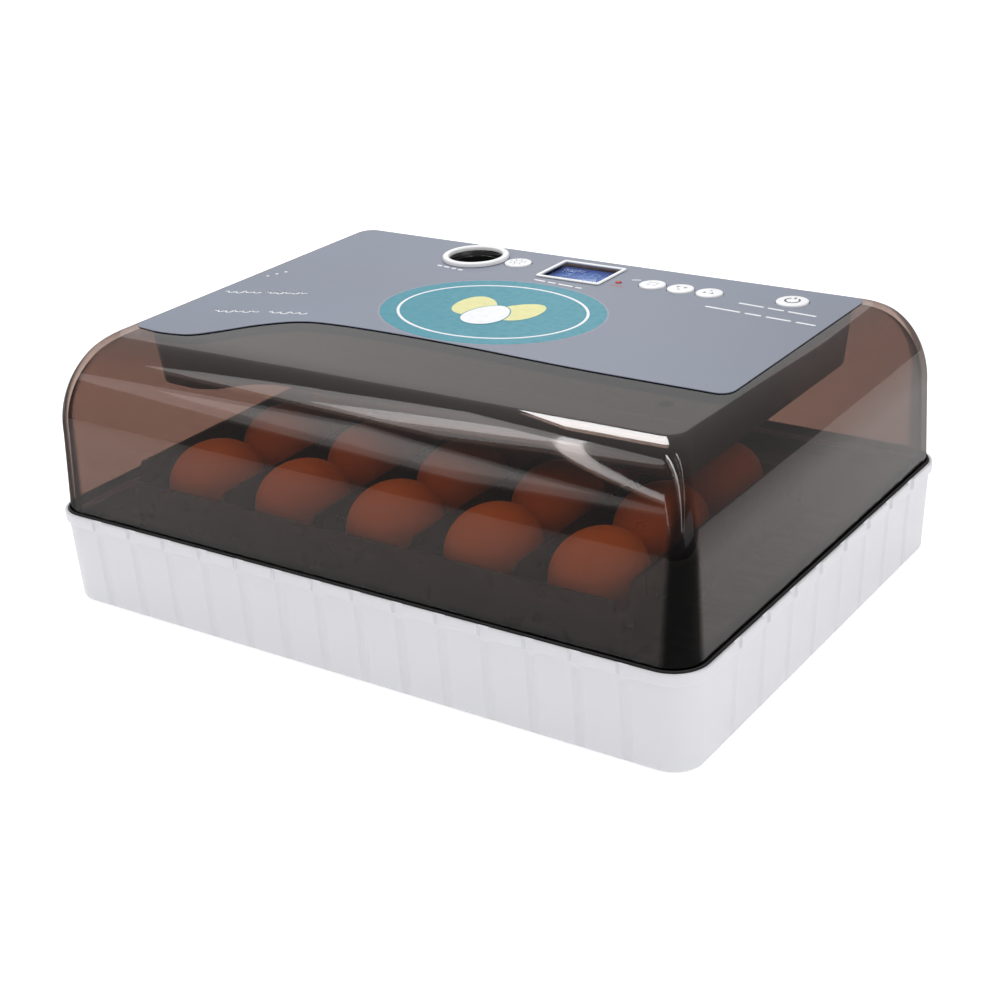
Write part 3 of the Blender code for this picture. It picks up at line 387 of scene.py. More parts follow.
NYLON = moulded("gear_nylon_natural", (0.72, 0.70, 0.62), 0.42, 700.0, 0.02, 0.04, subsurface_weight=0.1,
                subsurface_scale=0.001)
STEEL = metal("zinc_steel", (0.58, 0.58, 0.60), 0.3, (1.0, 1.0, 30.0))
MOTOR_STEEL = metal("motor_steel", (0.50, 0.50, 0.52), 0.34, (1.0, 1.0, 12.0))
HEATER_METAL = metal("heater_tube_metal", (0.36, 0.29, 0.25), 0.34, (6.0, 6.0, 1.0))
EGG_SHELL = egg_shell()
LID_CLEAR = smoke_clear("lid_smoke_clear", (0.665, 0.565, 0.525), (0.22, 0.15, 0.13), 0.03, 0.024, 0.45, 0.14,
                        paint_corner_shade=True)
WINDOW_CLEAR = smoke_clear("window_clear", (0.94, 0.96, 0.98), (0.7, 0.75, 0.8), 0.04, 0.01, 0.06, 0.05)
SCREEN = screen()
BOARD = circuit_board()
FILM = film_sheet()
WHITE_INK = ink("white_ink", (0.80, 0.81, 0.83))
TEAL_INK = ink("teal_ink", TEAL)
RIM_INK = ink("pale_rim_ink", (0.30, 0.27, 0.34))
YELLOW_INK = ink("pale_yellow_ink", (0.70, 0.68, 0.30))
DARK_INK = ink("dark_ink", (0.035, 0.035, 0.04))
GREY_INK = ink("grey_ink", (0.33, 0.33, 0.36))
RED_INK = ink("dull_red_ink", (0.33, 0.10, 0.12))
LAMP_RED = moulded("lamp_red_lens", (0.45, 0.02, 0.015), 0.15, 900.0, 0.004, coat_weight=0.6)
LED_WHITE = moulded("led_phosphor_lens", (0.85, 0.80, 0.55), 0.2, 900.0, 0.004, coat_weight=0.6)
DIGIT = ink("digit_pale_blue", (0.20, 0.33, 0.62))


# ---- mesh helpers

def new_object(name, data):
    made = bpy.data.objects.new(name, data)
    bpy.context.scene.collection.objects.link(made)
    return made


def mesh_piece(name, points, faces, smooth_angle=30):
    """One object from points in millimetres, with its faces pointing out."""
    mesh = bpy.data.meshes.new(name)
    mesh.from_pydata([Vector(point) * MM for point in points], [], faces)
    work = bmesh.new()
    work.from_mesh(mesh)
    bmesh.ops.recalc_face_normals(work, faces=work.faces)
    work.to_mesh(mesh)
    work.free()
    made = new_object(name, mesh)
    shade_round(made, smooth_angle)
    return made


def shade_round(item, angle):
    item.data.shade_smooth()
    item.data.set_sharp_from_angle(angle=math.radians(angle))


def install(item, finish, body, *nodes, slot=None, angle=None):
    """Give a piece its finish and body, and hide the CAD nodes that it stands for. The slot argument is not
    used.
    """
    item.data.materials.clear()
    item.data.materials.append(finish)
    if angle:
        shade_round(item, angle)
    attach(item, body)
    if nodes:
        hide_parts(*nodes)
    return item


def ring_faces(size, levels, closed):
    faces = []
    last = levels if closed else levels - 1
    for level in range(last):
        low = level * size
        high = (level + 1) % levels * size
        for i in range(size):
            j = (i + 1) % size
            faces.append((low + i, low + j, high + j, high + i))
    if not closed:
        faces.append(tuple(reversed(range(size))))
        faces.append(tuple(range((levels - 1) * size, levels * size)))
    return faces


def loft(name, rings, smooth_angle=30, closed=False):
    """Skin over rings of equal length. The end rings are capped, or joined to each other when closed."""
    points = [point for ring in rings for point in ring]
    return mesh_piece(name, points, ring_faces(len(rings[0]), len(rings), closed), smooth_angle)


def at_height(outline, z):
    return [(x, y, z) for x, y in outline]


def prisms(name, outlines, z0, z1, smooth_angle=30):
    """Several upright prisms of the same height in one mesh."""
    points = []
    faces = []
    for outline in outlines:
        start = len(points)
        points += at_height(outline, z0) + at_height(outline, z1)
        faces += [tuple(start + i for i in face) for face in ring_faces(len(outline), 2, False)]
    return mesh_piece(name, points, faces, smooth_angle)


def box_outline(x0, x1, y0, y1):
    return [(x0, y0), (x1, y0), (x1, y1), (x0, y1)]


def ellipse(x, y, half_x, half_y, sides=48):
    turns = (2 * math.pi * i / sides for i in range(sides))
    return [(x + half_x * math.cos(turn), y + half_y * math.sin(turn)) for turn in turns]


def circle(x, y, radius, sides=48):
    return ellipse(x, y, radius, radius, sides)


def lathe(name, x, y, profile, sides=48, smooth_angle=40, closed=False):
    """Turn a profile of (radius, z) points about the vertical line through x, y."""
    rings = [at_height(circle(x, y, radius, sides), z) for radius, z in profile]
    return loft(name, rings, smooth_angle, closed)


def arc(middle_x, middle_z, radius, start, end, steps):
    """Points of an arc, from start to end in degrees."""
    turns = (math.radians(start + (end - start) * i / steps) for i in range(steps + 1))
    return [(middle_x + radius * math.cos(turn), middle_z + radius * math.sin(turn)) for turn in turns]


def lying_lathe(name, x, z, profile, sides, smooth_angle):
    """Turn a profile of (radius, y) points about the line along Y through x, z."""
    rings = [[(px, y, pz) for px, pz in circle(x, z, radius, sides)] for radius, y in profile]
    return loft(name, rings, smooth_angle)


def rounded_pin(name, x, y0, y1, z, radius):
    """A pin along Y with a round end at y1."""
    profile = [(radius, y0)] + arc(0.0, y1 - radius, radius, 0, 84, 6)
    return lying_lathe(name, x, z, profile, 24, 50)


def rounded_rectangle(x0, x1, y0, y1, radius, steps):
    corners = (
        (x1 - radius, y1 - radius, 0),
        (x0 + radius, y1 - radius, 90),
        (x0 + radius, y0 + radius, 180),
        (x1 - radius, y0 + radius, 270),
    )
    outline = []
    for middle_x, middle_y, start in corners:
        outline += arc(middle_x, middle_y, radius, start, start + 90, steps)
    return outline


def inset_outline(outline, distance):
    """Move each point of an anticlockwise outline inwards, square to its neighbours' chord."""
    moved = []
    for i, (x, y) in enumerate(outline):
        before = outline[i - 1]
        after = outline[(i + 1) % len(outline)]
        along = Vector((after[0] - before[0], after[1] - before[1])).normalized()
        moved.append((x - along.y * distance, y + along.x * distance))
    return moved


def smooth_through(points, steps):
    """Catmull-Rom curve through the points, with steps spans between each pair."""
    padded = [points[0], *points, points[-1]]
    curve = []
    for i in range(len(points) - 1):
        p0, p1, p2, p3 = (Vector(point) for point in padded[i:i + 4])
        for step in range(steps):
            t = step / steps
            place = 0.5 * (2 * p1 + (p2 - p0) * t + (2 * p0 - 5 * p1 + 4 * p2 - p3) * t ** 2
                           + (3 * p1 - p0 - 3 * p2 + p3) * t ** 3)
            curve.append(tuple(place))
    curve.append(points[-1])
    return curve


def close_round_front(front, corners):
    """Close an anticlockwise outline from its front edge, with four rounded corners of (x, y, radius)."""
    outline = list(front)
    for (corner_x, corner_y, radius), start in zip(corners, (270, 0, 90, 180)):
        middle_x = corner_x - math.copysign(radius, corner_x)
        middle_y = corner_y - math.copysign(radius, corner_y)
        outline += arc(middle_x, middle_y, radius, start, start + 90, ROUND_CORNER_STEPS)
    return outline


def combine(target, others, operation):
    """Join other solids to the target or cut them from it, and remove them."""
    for other in others:
        step = target.modifiers.new(operation.lower(), "BOOLEAN")
        step.operation = operation
        step.solver = "EXACT"
        step.object = other
    depsgraph = bpy.context.evaluated_depsgraph_get()
    target.data = bpy.data.meshes.new_from_object(target.evaluated_get(depsgraph))
    target.modifiers.clear()
    for other in others:
        bpy.data.objects.remove(other, do_unlink=True)
    return target


def cut(target, *others):
    return combine(target, others, "DIFFERENCE")


def refined(node, finish, width, segments=2, slot="inner_plastic"):
    """A copy of a CAD node with whole flat faces and rounded edges, which stands for it."""
    work = bmesh.new()
    work.from_mesh(frame["nodes"][node].data)
    bmesh.ops.remove_doubles(work, verts=work.verts, dist=0.01 * MM)
    bmesh.ops.dissolve_limit(work, angle_limit=math.radians(0.4), verts=work.verts, edges=work.edges)
    sharp = [edge for edge in work.edges if edge.is_manifold and edge.calc_face_angle(0.0) > math.radians(28)]
    bmesh.ops.bevel(work, geom=sharp, offset=width * MM, segments=segments, profile=0.5, affect="EDGES",
                    clamp_overlap=True)
    mesh = bpy.data.meshes.new(node + "_fine")
    work.to_mesh(mesh)
    work.free()
    return install(new_object(node + "_fine", mesh), finish, body_of(node), node, slot=slot, angle=32)


# ---- base tub and seal

def tub_wall_inset(z):
    """The tub's outer wall leans in towards the foot."""
    return FOOT_INSET + (RIM_INSET - FOOT_INSET) * z / LIP_BOTTOM


def groove_depth(away):
    """How deep a groove is at this distance from its middle."""
    if away >= GROOVE_HALF_MOUTH:
        return 0.0
    if away <= GROOVE_HALF_FLOOR:
        return GROOVE_DEPTH
    share = (away - GROOVE_HALF_FLOOR) / (GROOVE_HALF_MOUTH - GROOVE_HALF_FLOOR)
    return GROOVE_DEPTH * (0.5 + 0.5 * math.cos(math.pi * share))


def groove_stations(half, count, pitch):
    """Places along one straight side, with the groove's depth at each, close together across each groove."""
    stations = [(-half, 0.0)]
    across = (-4.4, -3.4, -2.8, -2.25, -1.7, -1.1, 0.0, 1.1, 1.7, 2.25, 2.8, 3.4, 4.4)
    for i in range(count):
        place = (i - (count - 1) / 2) * pitch
        stations += [(place + step, groove_depth(abs(step))) for step in across]
        if i < count - 1:
            stations.append((place + pitch / 2, 0.0))
    return stations + [(half, 0.0)]


def tub_ring(inset, z):
    """The tub's outline at height z, with the grooves cut as deep as this height and inset leave them."""
    corner_steps = 12
    radius = max(CORNER_RADIUS - inset, 5.0)
    wall = tub_wall_inset(z)
    fade_start = GROOVE_TOP - 3.0
    fade = 1.0 - min(max((z - fade_start) / (GROOVE_TOP - fade_start), 0.0), 1.0) ** 2
    ring = []
    long_side = (BASE_LENGTH, BASE_WIDTH, FRONT_GROOVES, FRONT_GROOVE_PITCH)
    short_side = (BASE_WIDTH, BASE_LENGTH, SIDE_GROOVES, SIDE_GROOVE_PITCH)
    for turn, side in ((0, long_side), (90, short_side), (180, long_side), (270, short_side)):
        length, width, count, pitch = side
        places = []
        for along, depth in groove_stations(length / 2 - CORNER_RADIUS, count, pitch):
            grooved = depth and inset < LEDGE_INNER_INSET
            here = max(inset, wall + depth * fade) if grooved else inset
            places.append((along, here - width / 2))
        corner_x = length / 2 - inset - radius
        corner_y = inset + radius - width / 2
        places += arc(corner_x, corner_y, radius, 270, 360, corner_steps)[1:-1]
        across = Matrix.Rotation(math.radians(turn), 2)
        ring += [(*(across @ Vector(place)), z) for place in places]
    return ring


def make_tub():
    rim_radius = 1.2
    wall_heights = (2.2, 6.0, 12.0, 18.0, 24.0, 30.0, 36.0, 41.0, 43.0, 44.0, 45.0, 45.6, 46.0)
    outer = [(5.3, 0.0), (4.9, 0.15), (4.5, 0.5), (4.2, 1.1)]
    outer += [(tub_wall_inset(z), z) for z in wall_heights]
    outer += [(1.72, 46.5), (1.5, 46.85), (1.0, 47.1), (0.5, 47.3), (0.15, 47.7), (0.0, 48.2), (0.0, 50.5)]
    rim = [(rim_radius - px, pz) for px, pz in arc(0.0, RIM_TOP - rim_radius, rim_radius, 0, 90, 7)]
    inner = [(1.5, RIM_TOP - 0.1), (1.7, RIM_TOP - 0.25), (LIP_INNER_INSET, RIM_TOP - 0.5),
             (LIP_INNER_INSET, LEDGE_TOP), (LEDGE_INNER_INSET, LEDGE_TOP), (7.4, 5.0), (8.0, 3.6),
             (9.4, TUB_FLOOR_TOP)]
    tub = loft("tub_shell", [tub_ring(inset, z) for inset, z in outer + rim + inner], 40)
    return install(tub, WHITE_TUB, "base", "base_tub", slot="tub")


def base_ring(inset, z):
    radius = CORNER_RADIUS - inset
    half_x = BASE_LENGTH / 2 - inset
    half_y = BASE_WIDTH / 2 - inset
    return at_height(rounded_rectangle(-half_x, half_x, -half_y, half_y, radius, 16), z)


def make_seal():
    outer = LIP_INNER_INSET + GAP
    inner = LID_INSET - GAP
    low = LEDGE_TOP + GAP
    high = RIM_TOP + 0.9
    radius = (inner - outer) / 2
    profile = [(outer, low)]
    profile += [(outer + radius - px, pz) for px, pz in arc(0.0, high - radius, radius, 0, 180, 8)]
    profile.append((inner, low))
    seal = loft("seal_strip", [base_ring(inset, z) for inset, z in profile], 50, closed=True)
    return install(seal, SEAL_RUBBER, "base", "rim_seal", slot="seal")


# ---- eggs and turner

def make_egg(node):
    low, high = node_box(node)
    x = (low.x + high.x) / 2
    y = (low.y + high.y) / 2
    z = (low.z + high.z) / 2
    bands = 34
    sides = 40
    rings = []
    for band in range(bands + 1):
        turn = math.pi * (0.01 + 0.98 * band / bands)
        along = -math.cos(turn)
        radius = EGG_RADIUS * math.sin(turn) * (1.0 - EGG_TAPER * along) / math.sqrt(1.0 + EGG_TAPER ** 2)
        radius = min(radius, EGG_RADIUS)
        rings.append([(px, y + EGG_HALF_LENGTH * along, pz) for px, pz in circle(x, z, radius, sides)])
    egg = loft(node + "_shell", rings, 180)
    return install(egg, EGG_SHELL, body_of(node), node, slot="eggs")


def make_turner():
    refined("turner_frame", TURNER_BLACK, 0.35)
    for index in range(1, 5):
        refined(f"egg_divider_{index}", TURNER_BLACK, 0.5)
    for index in range(1, 16):
        make_egg(f"egg_{index}")
    refined("drive_pinion", NYLON, 0.12, slot="gear")


def make_base_inside():
    refined("water_tray", TRAY_BLACK, 0.5)
    refined("egg_floor", FLOOR_BLACK, 0.4)
    refined("motor_bracket", STEEL, 0.25, slot="steel")
    refined("turner_motor", MOTOR_STEEL, 0.3, slot="steel")
    ear_top = 59.8
    rivets_y = 108.0
    for node in ("motor_screw_1", "motor_screw_2"):
        make_screw(node, ear_top + GAP, 1)
    heads = [circle(x, rivets_y, 1.2, 20) for x in (-14.0, 0.0, 14.0)]
    install(prisms("motor_rivets", heads, 60.15, 60.6), STEEL, "base", slot="steel")


def make_screw(node, seat, way):
    """A pan-head screw with a cross recess. Its head stands up from the seat, or hangs down if way is -1."""
    x, y = middle(node)
    low, high = node_box(node)
    if way > 0:
        top = high.z
        shank_end = low.z
        head = 3.0
    else:
        top = low.z
        shank_end = high.z
        head = 3.4
    height = abs(top - seat)
    profile = [(1.5, shank_end), (1.5, seat), (head, seat), (head, seat + way * height * 0.35)]
    for step in range(1, 7):
        share = step / 6
        rise = 0.35 + 0.65 * math.sin(share * 1.57)
        profile.append((head * math.cos(share * 1.2), seat + way * height * rise))
    screw = lathe(node + "_fine", x, y, profile, 32, 35)
    half = 0.42
    arm = head * 0.62
    deep = top - way * height * 0.6
    span = sorted((deep, top + way * 1.0))
    cross = [prisms("cross", [box_outline(x - arm, x + arm, y - half, y + half)], *span),
             prisms("cross", [box_outline(x - half, x + half, y - arm, y + arm)], *span)]
    cut(screw, *cross)
    return install(screw, STEEL, body_of(node), node, slot="steel", angle=35)


# ---- lid

def lid_outline(z, shrink):
    """The lid's plan at height z, moved in by shrink. The front and right walls have a round shoulder."""
    half_x = BASE_LENGTH / 2 - LID_INSET
    half_y = BASE_WIDTH / 2 - LID_INSET
    shoulder_right = half_x - 1.8
    shoulder_front = -half_y + 3.4
    edge_left = -half_x + 3.0
    edge_back = half_y - 5.6
    rise = min((z - RIM_TOP) / (LID_SHOULDER - RIM_TOP), 1.0) if z > RIM_TOP else 0.0
    right = half_x + (shoulder_right - half_x) * rise
    front = -half_y + (shoulder_front + half_y) * rise
    if z > LID_SHOULDER:
        up = (z - LID_SHOULDER) / (LID_TOP - LID_SHOULDER)
        out = max(1.0 - up ** SHOULDER_POWER, 0.0) ** (1 / SHOULDER_POWER)
        right = LID_FLAT_RIGHT + (shoulder_right - LID_FLAT_RIGHT) * out
        front = LID_FLAT_FRONT + (shoulder_front - LID_FLAT_FRONT) * out
    lean = min(max((z - RIM_TOP) / (EDGE_START - RIM_TOP), 0.0), 1.0)
    left = -half_x + (edge_left + half_x) * lean
    back = half_y + (edge_back - half_y) * lean
    if z > EDGE_START:
        drop = EDGE_RADIUS - math.sqrt(max(EDGE_RADIUS ** 2 - (z - EDGE_START) ** 2, 0.0))
        left = edge_left + (LID_FLAT_LEFT - edge_left) * drop / EDGE_RADIUS
        back = edge_back + (LID_FLAT_BACK - edge_back) * drop / EDGE_RADIUS
    full = CORNER_RADIUS - LID_INSET
    radius = full + (9.0 - full) * max((z - RIM_TOP) / (LID_TOP - RIM_TOP), 0.0) - shrink * 0.5
    return rounded_rectangle(left + shrink, right - shrink, front + shrink, back - shrink, radius,
                             LID_CORNER_STEPS)


def lid_rings(shrink, top, bottom):
    """Rings from the top down to the bottom edge, closer together where the shoulders turn."""
    turns = range(90, 0, -3)
    heights = [LID_SHOULDER + (top - LID_SHOULDER) * math.sin(math.radians(turn)) for turn in turns]
    heights += [LID_SHOULDER, 90.0, 83.0, 76.0, 68.0, 60.0, RIM_TOP, bottom]
    rings = []
    for z in heights:
        level = LID_SHOULDER + (z - LID_SHOULDER) * (LID_TOP - LID_SHOULDER) / (top - LID_SHOULDER)
        rings.append(at_height(lid_outline(level if z > LID_SHOULDER else z, shrink), z))
    return rings


def panel_cutters(low, high, window_half_x, window_half_y):
    """Cutters for everything that passes through the lid's top and the film."""
    outlines = [circle(*CANDLER, CANDLER_HOLE, 64), circle(*LAMP, 2.1, 24)]
    outlines.append(box_outline(DISPLAY[0] - window_half_x, DISPLAY[0] + window_half_x,
                                DISPLAY[1] - window_half_y, DISPLAY[1] + window_half_y))
    outlines += [circle(*middle(key), cap_radius(key) + 0.4, 48) for key in KEYS]
    return prisms("panel_cutters", outlines, low, high)


def cap_radius(key):
    """A key's flange stands 1 mm out from its cap."""
    low, high = node_box(key)
    return (high.x - low.x) / 2 - 1.0


def make_lid():
    outer = lid_rings(0.0, LID_TOP, LEDGE_TOP + GAP)
    inner = lid_rings(LID_WALL, LID_TOP - LID_WALL, LEDGE_TOP + GAP)
    shell = loft("lid_clear_shell", outer + inner[::-1])
    post_low = HOUSING_BOTTOM + HOUSING_FLOOR + 0.4
    under_top = LID_TOP - LID_WALL
    posts = prisms("posts", [circle(x, y, 4.0, 32) for x, y in SCREW_POINTS], post_low, under_top + 1.0)
    combine(shell, [posts], "UNION")
    pilots = prisms("pilots", [circle(x, y, SCREW_HOLE, 24) for x, y in SCREW_POINTS], HOUSING_BOTTOM, 121.0)
    cut(shell, pilots)
    cut(shell, panel_cutters(under_top - 1.0, LID_TOP + 1.0, 20.9, 16.2))
    hole = rounded_rectangle(INLET_X - INLET_HALF_X, INLET_X + INLET_HALF_X,
                             SOCKETS_Z - INLET_HALF_Z, SOCKETS_Z + INLET_HALF_Z, 1.2, 5)
    inlet_hole = loft("inlet_hole", [[(x, y, z) for x, z in hole] for y in (132.0, 150.0)])
    cut(shell, inlet_hole)
    through = ((SOCKET_HOLE, 132.0), (SOCKET_HOLE, 150.0))
    cut(shell, lying_lathe("socket_hole", SOCKET_X, SOCKETS_Z, through, 40, 40))
    return install(shell, LID_CLEAR, "lid", "lid_shell", slot="lid", angle=30)


def housing_outline():
    """Anticlockwise plan. The front edge swings forwards at its left end."""
    front = smooth_through(
        [(-169.0, -77.0), (-154.0, -77.0), (-140.0, -71.0), (-127.0, -57.0), (-112.0, -51.0), (-88.0, -52.0),
         (-45.0, -61.0), (0.0, -66.0), (60.0, HOUSING_FRONT), (132.0, HOUSING_FRONT)], 6)
    corners = ((HOUSING_RIGHT, HOUSING_FRONT, 14.0), (HOUSING_RIGHT, HOUSING_BACK, 12.0),
               (HOUSING_LEFT, HOUSING_BACK, 12.0), (HOUSING_LEFT, -77.0, 12.0))
    return close_round_front(front, corners)


def make_housing():
    outline = housing_outline()
    profile = [(HOUSING_DRAFT + 2.0, HOUSING_BOTTOM)]
    profile += [(HOUSING_DRAFT + 2.0 - px, HOUSING_BOTTOM + 2.0 + pz)
                for px, pz in arc(0.0, 0.0, 2.0, -90, 0, 6)][1:]
    profile += [(0.4, HOUSING_TOP - 0.5), (0.2, HOUSING_TOP - 0.1), (0.5, HOUSING_TOP), (2.0, HOUSING_TOP),
                (HOUSING_DRAFT + 2.0, HOUSING_BOTTOM + HOUSING_FLOOR)]
    rings = [at_height(inset_outline(outline, inset), z) for inset, z in profile]
    tray = loft("housing_shell", rings)
    low = HOUSING_BOTTOM - 1.0
    high = HOUSING_BOTTOM + HOUSING_FLOOR + 1.0
    holes = [circle(*FAN, FAN_BORE, 64), circle(*PROBE, 2.8, 24)]
    holes += [circle(x, y, SCREW_HOLE, 20) for x, y in SCREW_POINTS]
    cut(tray, prisms("floor_holes", holes, low, high))
    slot = prisms("inlet_slot", [box_outline(INLET_X - INLET_HALF_X, INLET_X + INLET_HALF_X, 118.0, 140.0)],
                  SOCKETS_Z - INLET_HALF_Z, SOCKETS_Z + INLET_HALF_Z)
    cut(tray, slot)
    through = ((SOCKET_HOLE, 118.0), (SOCKET_HOLE, 140.0))
    cut(tray, lying_lathe("socket_slot", SOCKET_X, SOCKETS_Z, through, 40, 40))
    return install(tray, HOUSING_BLACK, "lid", "control_housing", slot="housing", angle=30)


# ---- control panel

def film_outline():
    """Anticlockwise plan. The front edge swings forwards to the left end, as the housing's does."""
    front = smooth_through(
        [(-178.0, -82.2), (-165.0, -83.0), (-148.0, -79.0), (-137.0, -67.0), (-124.0, -49.0), (-108.0, -35.0),
         (-88.0, -29.5), (-50.0, -27.5), (0.0, -28.0), (70.0, FILM_FRONT), (140.0, FILM_FRONT)],
        6)
    corners = ((FILM_RIGHT, FILM_FRONT, 8.0), (FILM_RIGHT, FILM_BACK, 7.0),
               (FILM_LEFT, FILM_BACK, 8.0), (FILM_LEFT, -82.0, 7.5))
    return close_round_front(front, corners)


def make_film():
    outline = film_outline()
    edge = 0.15
    rings = [at_height(outline, FILM_BOTTOM), at_height(outline, FILM_TOP - edge),
             at_height(inset_outline(outline, edge), FILM_TOP)]
    film = loft("panel_sheet", rings)
    cut(film, panel_cutters(FILM_BOTTOM - 1.0, FILM_TOP + 1.0, 19.4, 14.9))
    return install(film, FILM, "lid", "panel_film", slot="panel", angle=30)


def bar(x, y, length, width, turn):
    """A bar with round ends, its length along the direction turn in degrees."""
    half = length / 2 - width / 2
    ends = arc(half, 0.0, width / 2, -90, 90, 6) + arc(-half, 0.0, width / 2, 90, 270, 6)
    way = Matrix.Rotation(math.radians(turn), 2)
    return [(x + place.x, y + place.y) for place in (way @ Vector(end) for end in ends)]


def dash_line(start, end, lengths, width, space=1.6):
    """Bars of the given lengths laid along a line, scaled so that they fill it."""
    start = Vector(start)
    way = Vector(end) - start
    turn = math.degrees(math.atan2(way.y, way.x))
    scale = way.length / (sum(lengths) + space * (len(lengths) - 1))
    way.normalize()
    bars = []
    along = 0.0
    for length in lengths:
        place = start + way * (along + length / 2) * scale
        bars.append(bar(place.x, place.y, length * scale, width, turn))
        along += length + space
    return bars


def wavy_line(name, start, end, waves):
    """A printed line that rises and falls, taller at its start, like a flourish."""
    start = Vector(start)
    way = Vector(end) - start
    side = Vector((-way.y, way.x)).normalized()
    steps = int(waves * 14)
    path = []
    for step in range(steps + 1):
        share = step / steps
        turn = 2 * math.pi * waves * share
        rise = (2.2 - 0.9 * share) * math.sin(turn) + 0.7 * math.sin(turn * 0.5)
        lean = 0.8 * math.cos(turn)
        path.append(start + way * share + side * rise + way.normalized() * lean)
    rings = []
    for step, place in enumerate(path):
        along = (path[min(step + 1, steps)] - path[max(step - 1, 0)]).normalized()
        half = 0.35 + 0.25 * abs(along.dot(side))
        out = Vector((-along.y, along.x)) * half
        left = place + out
        right = place - out
        rings.append([(*left, INK_LOW), (*right, INK_LOW), (*right, INK_HIGH), (*left, INK_HIGH)])
    return loft(name, rings)


def egg_shape(x, y, half_width, half_height, turn=0.0):
    """An egg's outline with its pointed end up, turned by degrees."""
    way = Matrix.Rotation(math.radians(turn), 2)
    outline = []
    for px, py in circle(0.0, 0.0, 1.0, 40):
        place = way @ Vector((px * half_width * (1.0 - 0.16 * py), py * half_height))
        outline.append((x + place.x, y + place.y))
    return outline


def printed(name, outlines, finish, low=INK_LOW, high=INK_HIGH, body="lid", slot="panel"):
    return install(prisms(name, outlines, low, high), finish, body, slot=slot)


def make_prints():
    """Plain marks printed on the film: an oval with eggs on it, and rows of dashes."""
    emblem_x = -19.0
    emblem_y = 27.5
    half_x = 67.0
    half_y = 54.0
    rim = 0.9
    printed("print_oval_rim", [ellipse(emblem_x, emblem_y, half_x + rim, half_y + rim, 96)], RIM_INK,
            INK_LOW, INK_LOW + 0.03)
    printed("print_oval", [ellipse(emblem_x, emblem_y, half_x, half_y, 96)], TEAL_INK)
    low = INK_HIGH + 0.01
    high = low + 0.05
    layer = 0.06
    eggs = ((-14.0, 4.0, 22.0, YELLOW_INK), (15.0, 5.0, -22.0, YELLOW_INK), (1.0, -7.0, 2.0, WHITE_INK))
    for index, (x, y, turn, finish) in enumerate(eggs):
        base = low + index * layer
        edge = egg_shape(emblem_x + x, emblem_y + y, 13.3, 17.3, turn)
        egg = egg_shape(emblem_x + x, emblem_y + y, 12.5, 16.5, turn)
        printed(f"print_egg_edge_{index + 1}", [edge], TEAL_INK, base, base + layer / 2)
        printed(f"print_egg_{index + 1}", [egg], finish, base + 0.01, base + layer)
    oval = ellipse(emblem_x, emblem_y, half_x - 10.0, half_y - 9.0, 96)
    thin = ellipse(emblem_x, emblem_y, half_x - 11.6, half_y - 10.6, 96)
    line = loft("print_oval_line", [at_height(oval, low), at_height(oval, high), at_height(thin, high),
                                    at_height(thin, low)], closed=True)
    install(line, WHITE_INK, "lid", slot="panel")

    waves = (((-182.0, -10.5), (-162.0, -2.5), 4.0), ((-158.0, -1.0), (-136.0, 8.0), 5.0),
             ((-163.0, -41.0), (-139.0, -31.5), 5.0), ((-133.0, -29.5), (-112.0, -21.5), 4.0))
    for index, (start, end, count) in enumerate(waves):
        install(wavy_line(f"print_wave_{index + 1}", start, end, count), WHITE_INK, "lid", slot="panel")
    dots = [circle(x, y, 1.0, 16) for x, y in ((-179.0, 25.0), (-176.7, 30.7), (-174.4, 36.4))]
    printed("print_left_dots", dots, WHITE_INK)
    small = dash_line((-98.5, 87.5), (-78.5, 85.0), (4, 5, 4, 4), 1.8)
    small += dash_line((-29.5, 87.6), (4.5, 84.6), (7, 5, 9, 4), 1.6)
    small += dash_line((97.0, 99.0), (145.0, 95.5), (11, 7, 12), 1.8)
    small += dash_line((83.0, 86.0), (151.0, 81.5), (13, 6, 9, 7), 1.8)
    small += [bar(25.0, 112.0, 5.5, 1.2, 20.0)]
    printed("print_label_dashes", small, WHITE_INK)
    printed("print_lamp_mark", [bar(20.5, 97.5, 8.0, 1.6, -4.0)], RED_INK)


def icon_outlines(key, x, y):
    """A plain pictogram for a key."""
    if key == "candler_key":
        rays = [bar(x + 4.6 * math.cos(turn), y + 4.6 * math.sin(turn), 1.8, 0.55, math.degrees(turn))
                for turn in (math.radians(step * 45) for step in range(8))]
        return [circle(x, y, 2.6, 24)] + rays
    if key == "set_key":
        return [bar(x, y + step, 6.4, 0.8, 0.0) for step in (-2.1, 0.0, 2.1)]
    if key == "power_key":
        band = arc(x, y, 4.6, 122, 418, 30) + arc(x, y, 3.5, 418, 122, 30)
        return [band, bar(x, y + 3.2, 4.6, 1.1, 90.0)]
    way = 1.0 if key == "up_key" else -1.0
    return [[(x - 3.6, y - way * 2.2), (x + 3.6, y - way * 2.2), (x, y + way * 3.6)][::int(way)]]


def make_keys():
    under = LID_TOP - LID_WALL - GAP
    for key in KEYS:
        x, y = middle(key)
        low, high = node_box(key)
        radius = cap_radius(key)
        top = high.z
        fillet = 0.8
        dome = 0.12
        profile = [(2.5, low.z), (2.5, under - 1.2), (radius + 1.0, under - 1.2), (radius + 1.0, under),
                   (radius, under)]
        profile += [(radius - fillet + px, pz) for px, pz in arc(0.0, top - dome - fillet, fillet, 0, 78, 6)]
        profile += [(radius * share, top - dome * share ** 2) for share in (0.8, 0.6, 0.4, 0.2, 0.05)]
        cap = lathe(key + "_cap", x, y, profile, 56, 50)
        install(cap, KEY_WHITE, body_of(key), key, slot="keys")
        finish = GREY_INK if key == "set_key" else DARK_INK
        printed(key + "_icon", icon_outlines(key, x, y), finish, top - dome, top - 0.01, body_of(key), "keys")


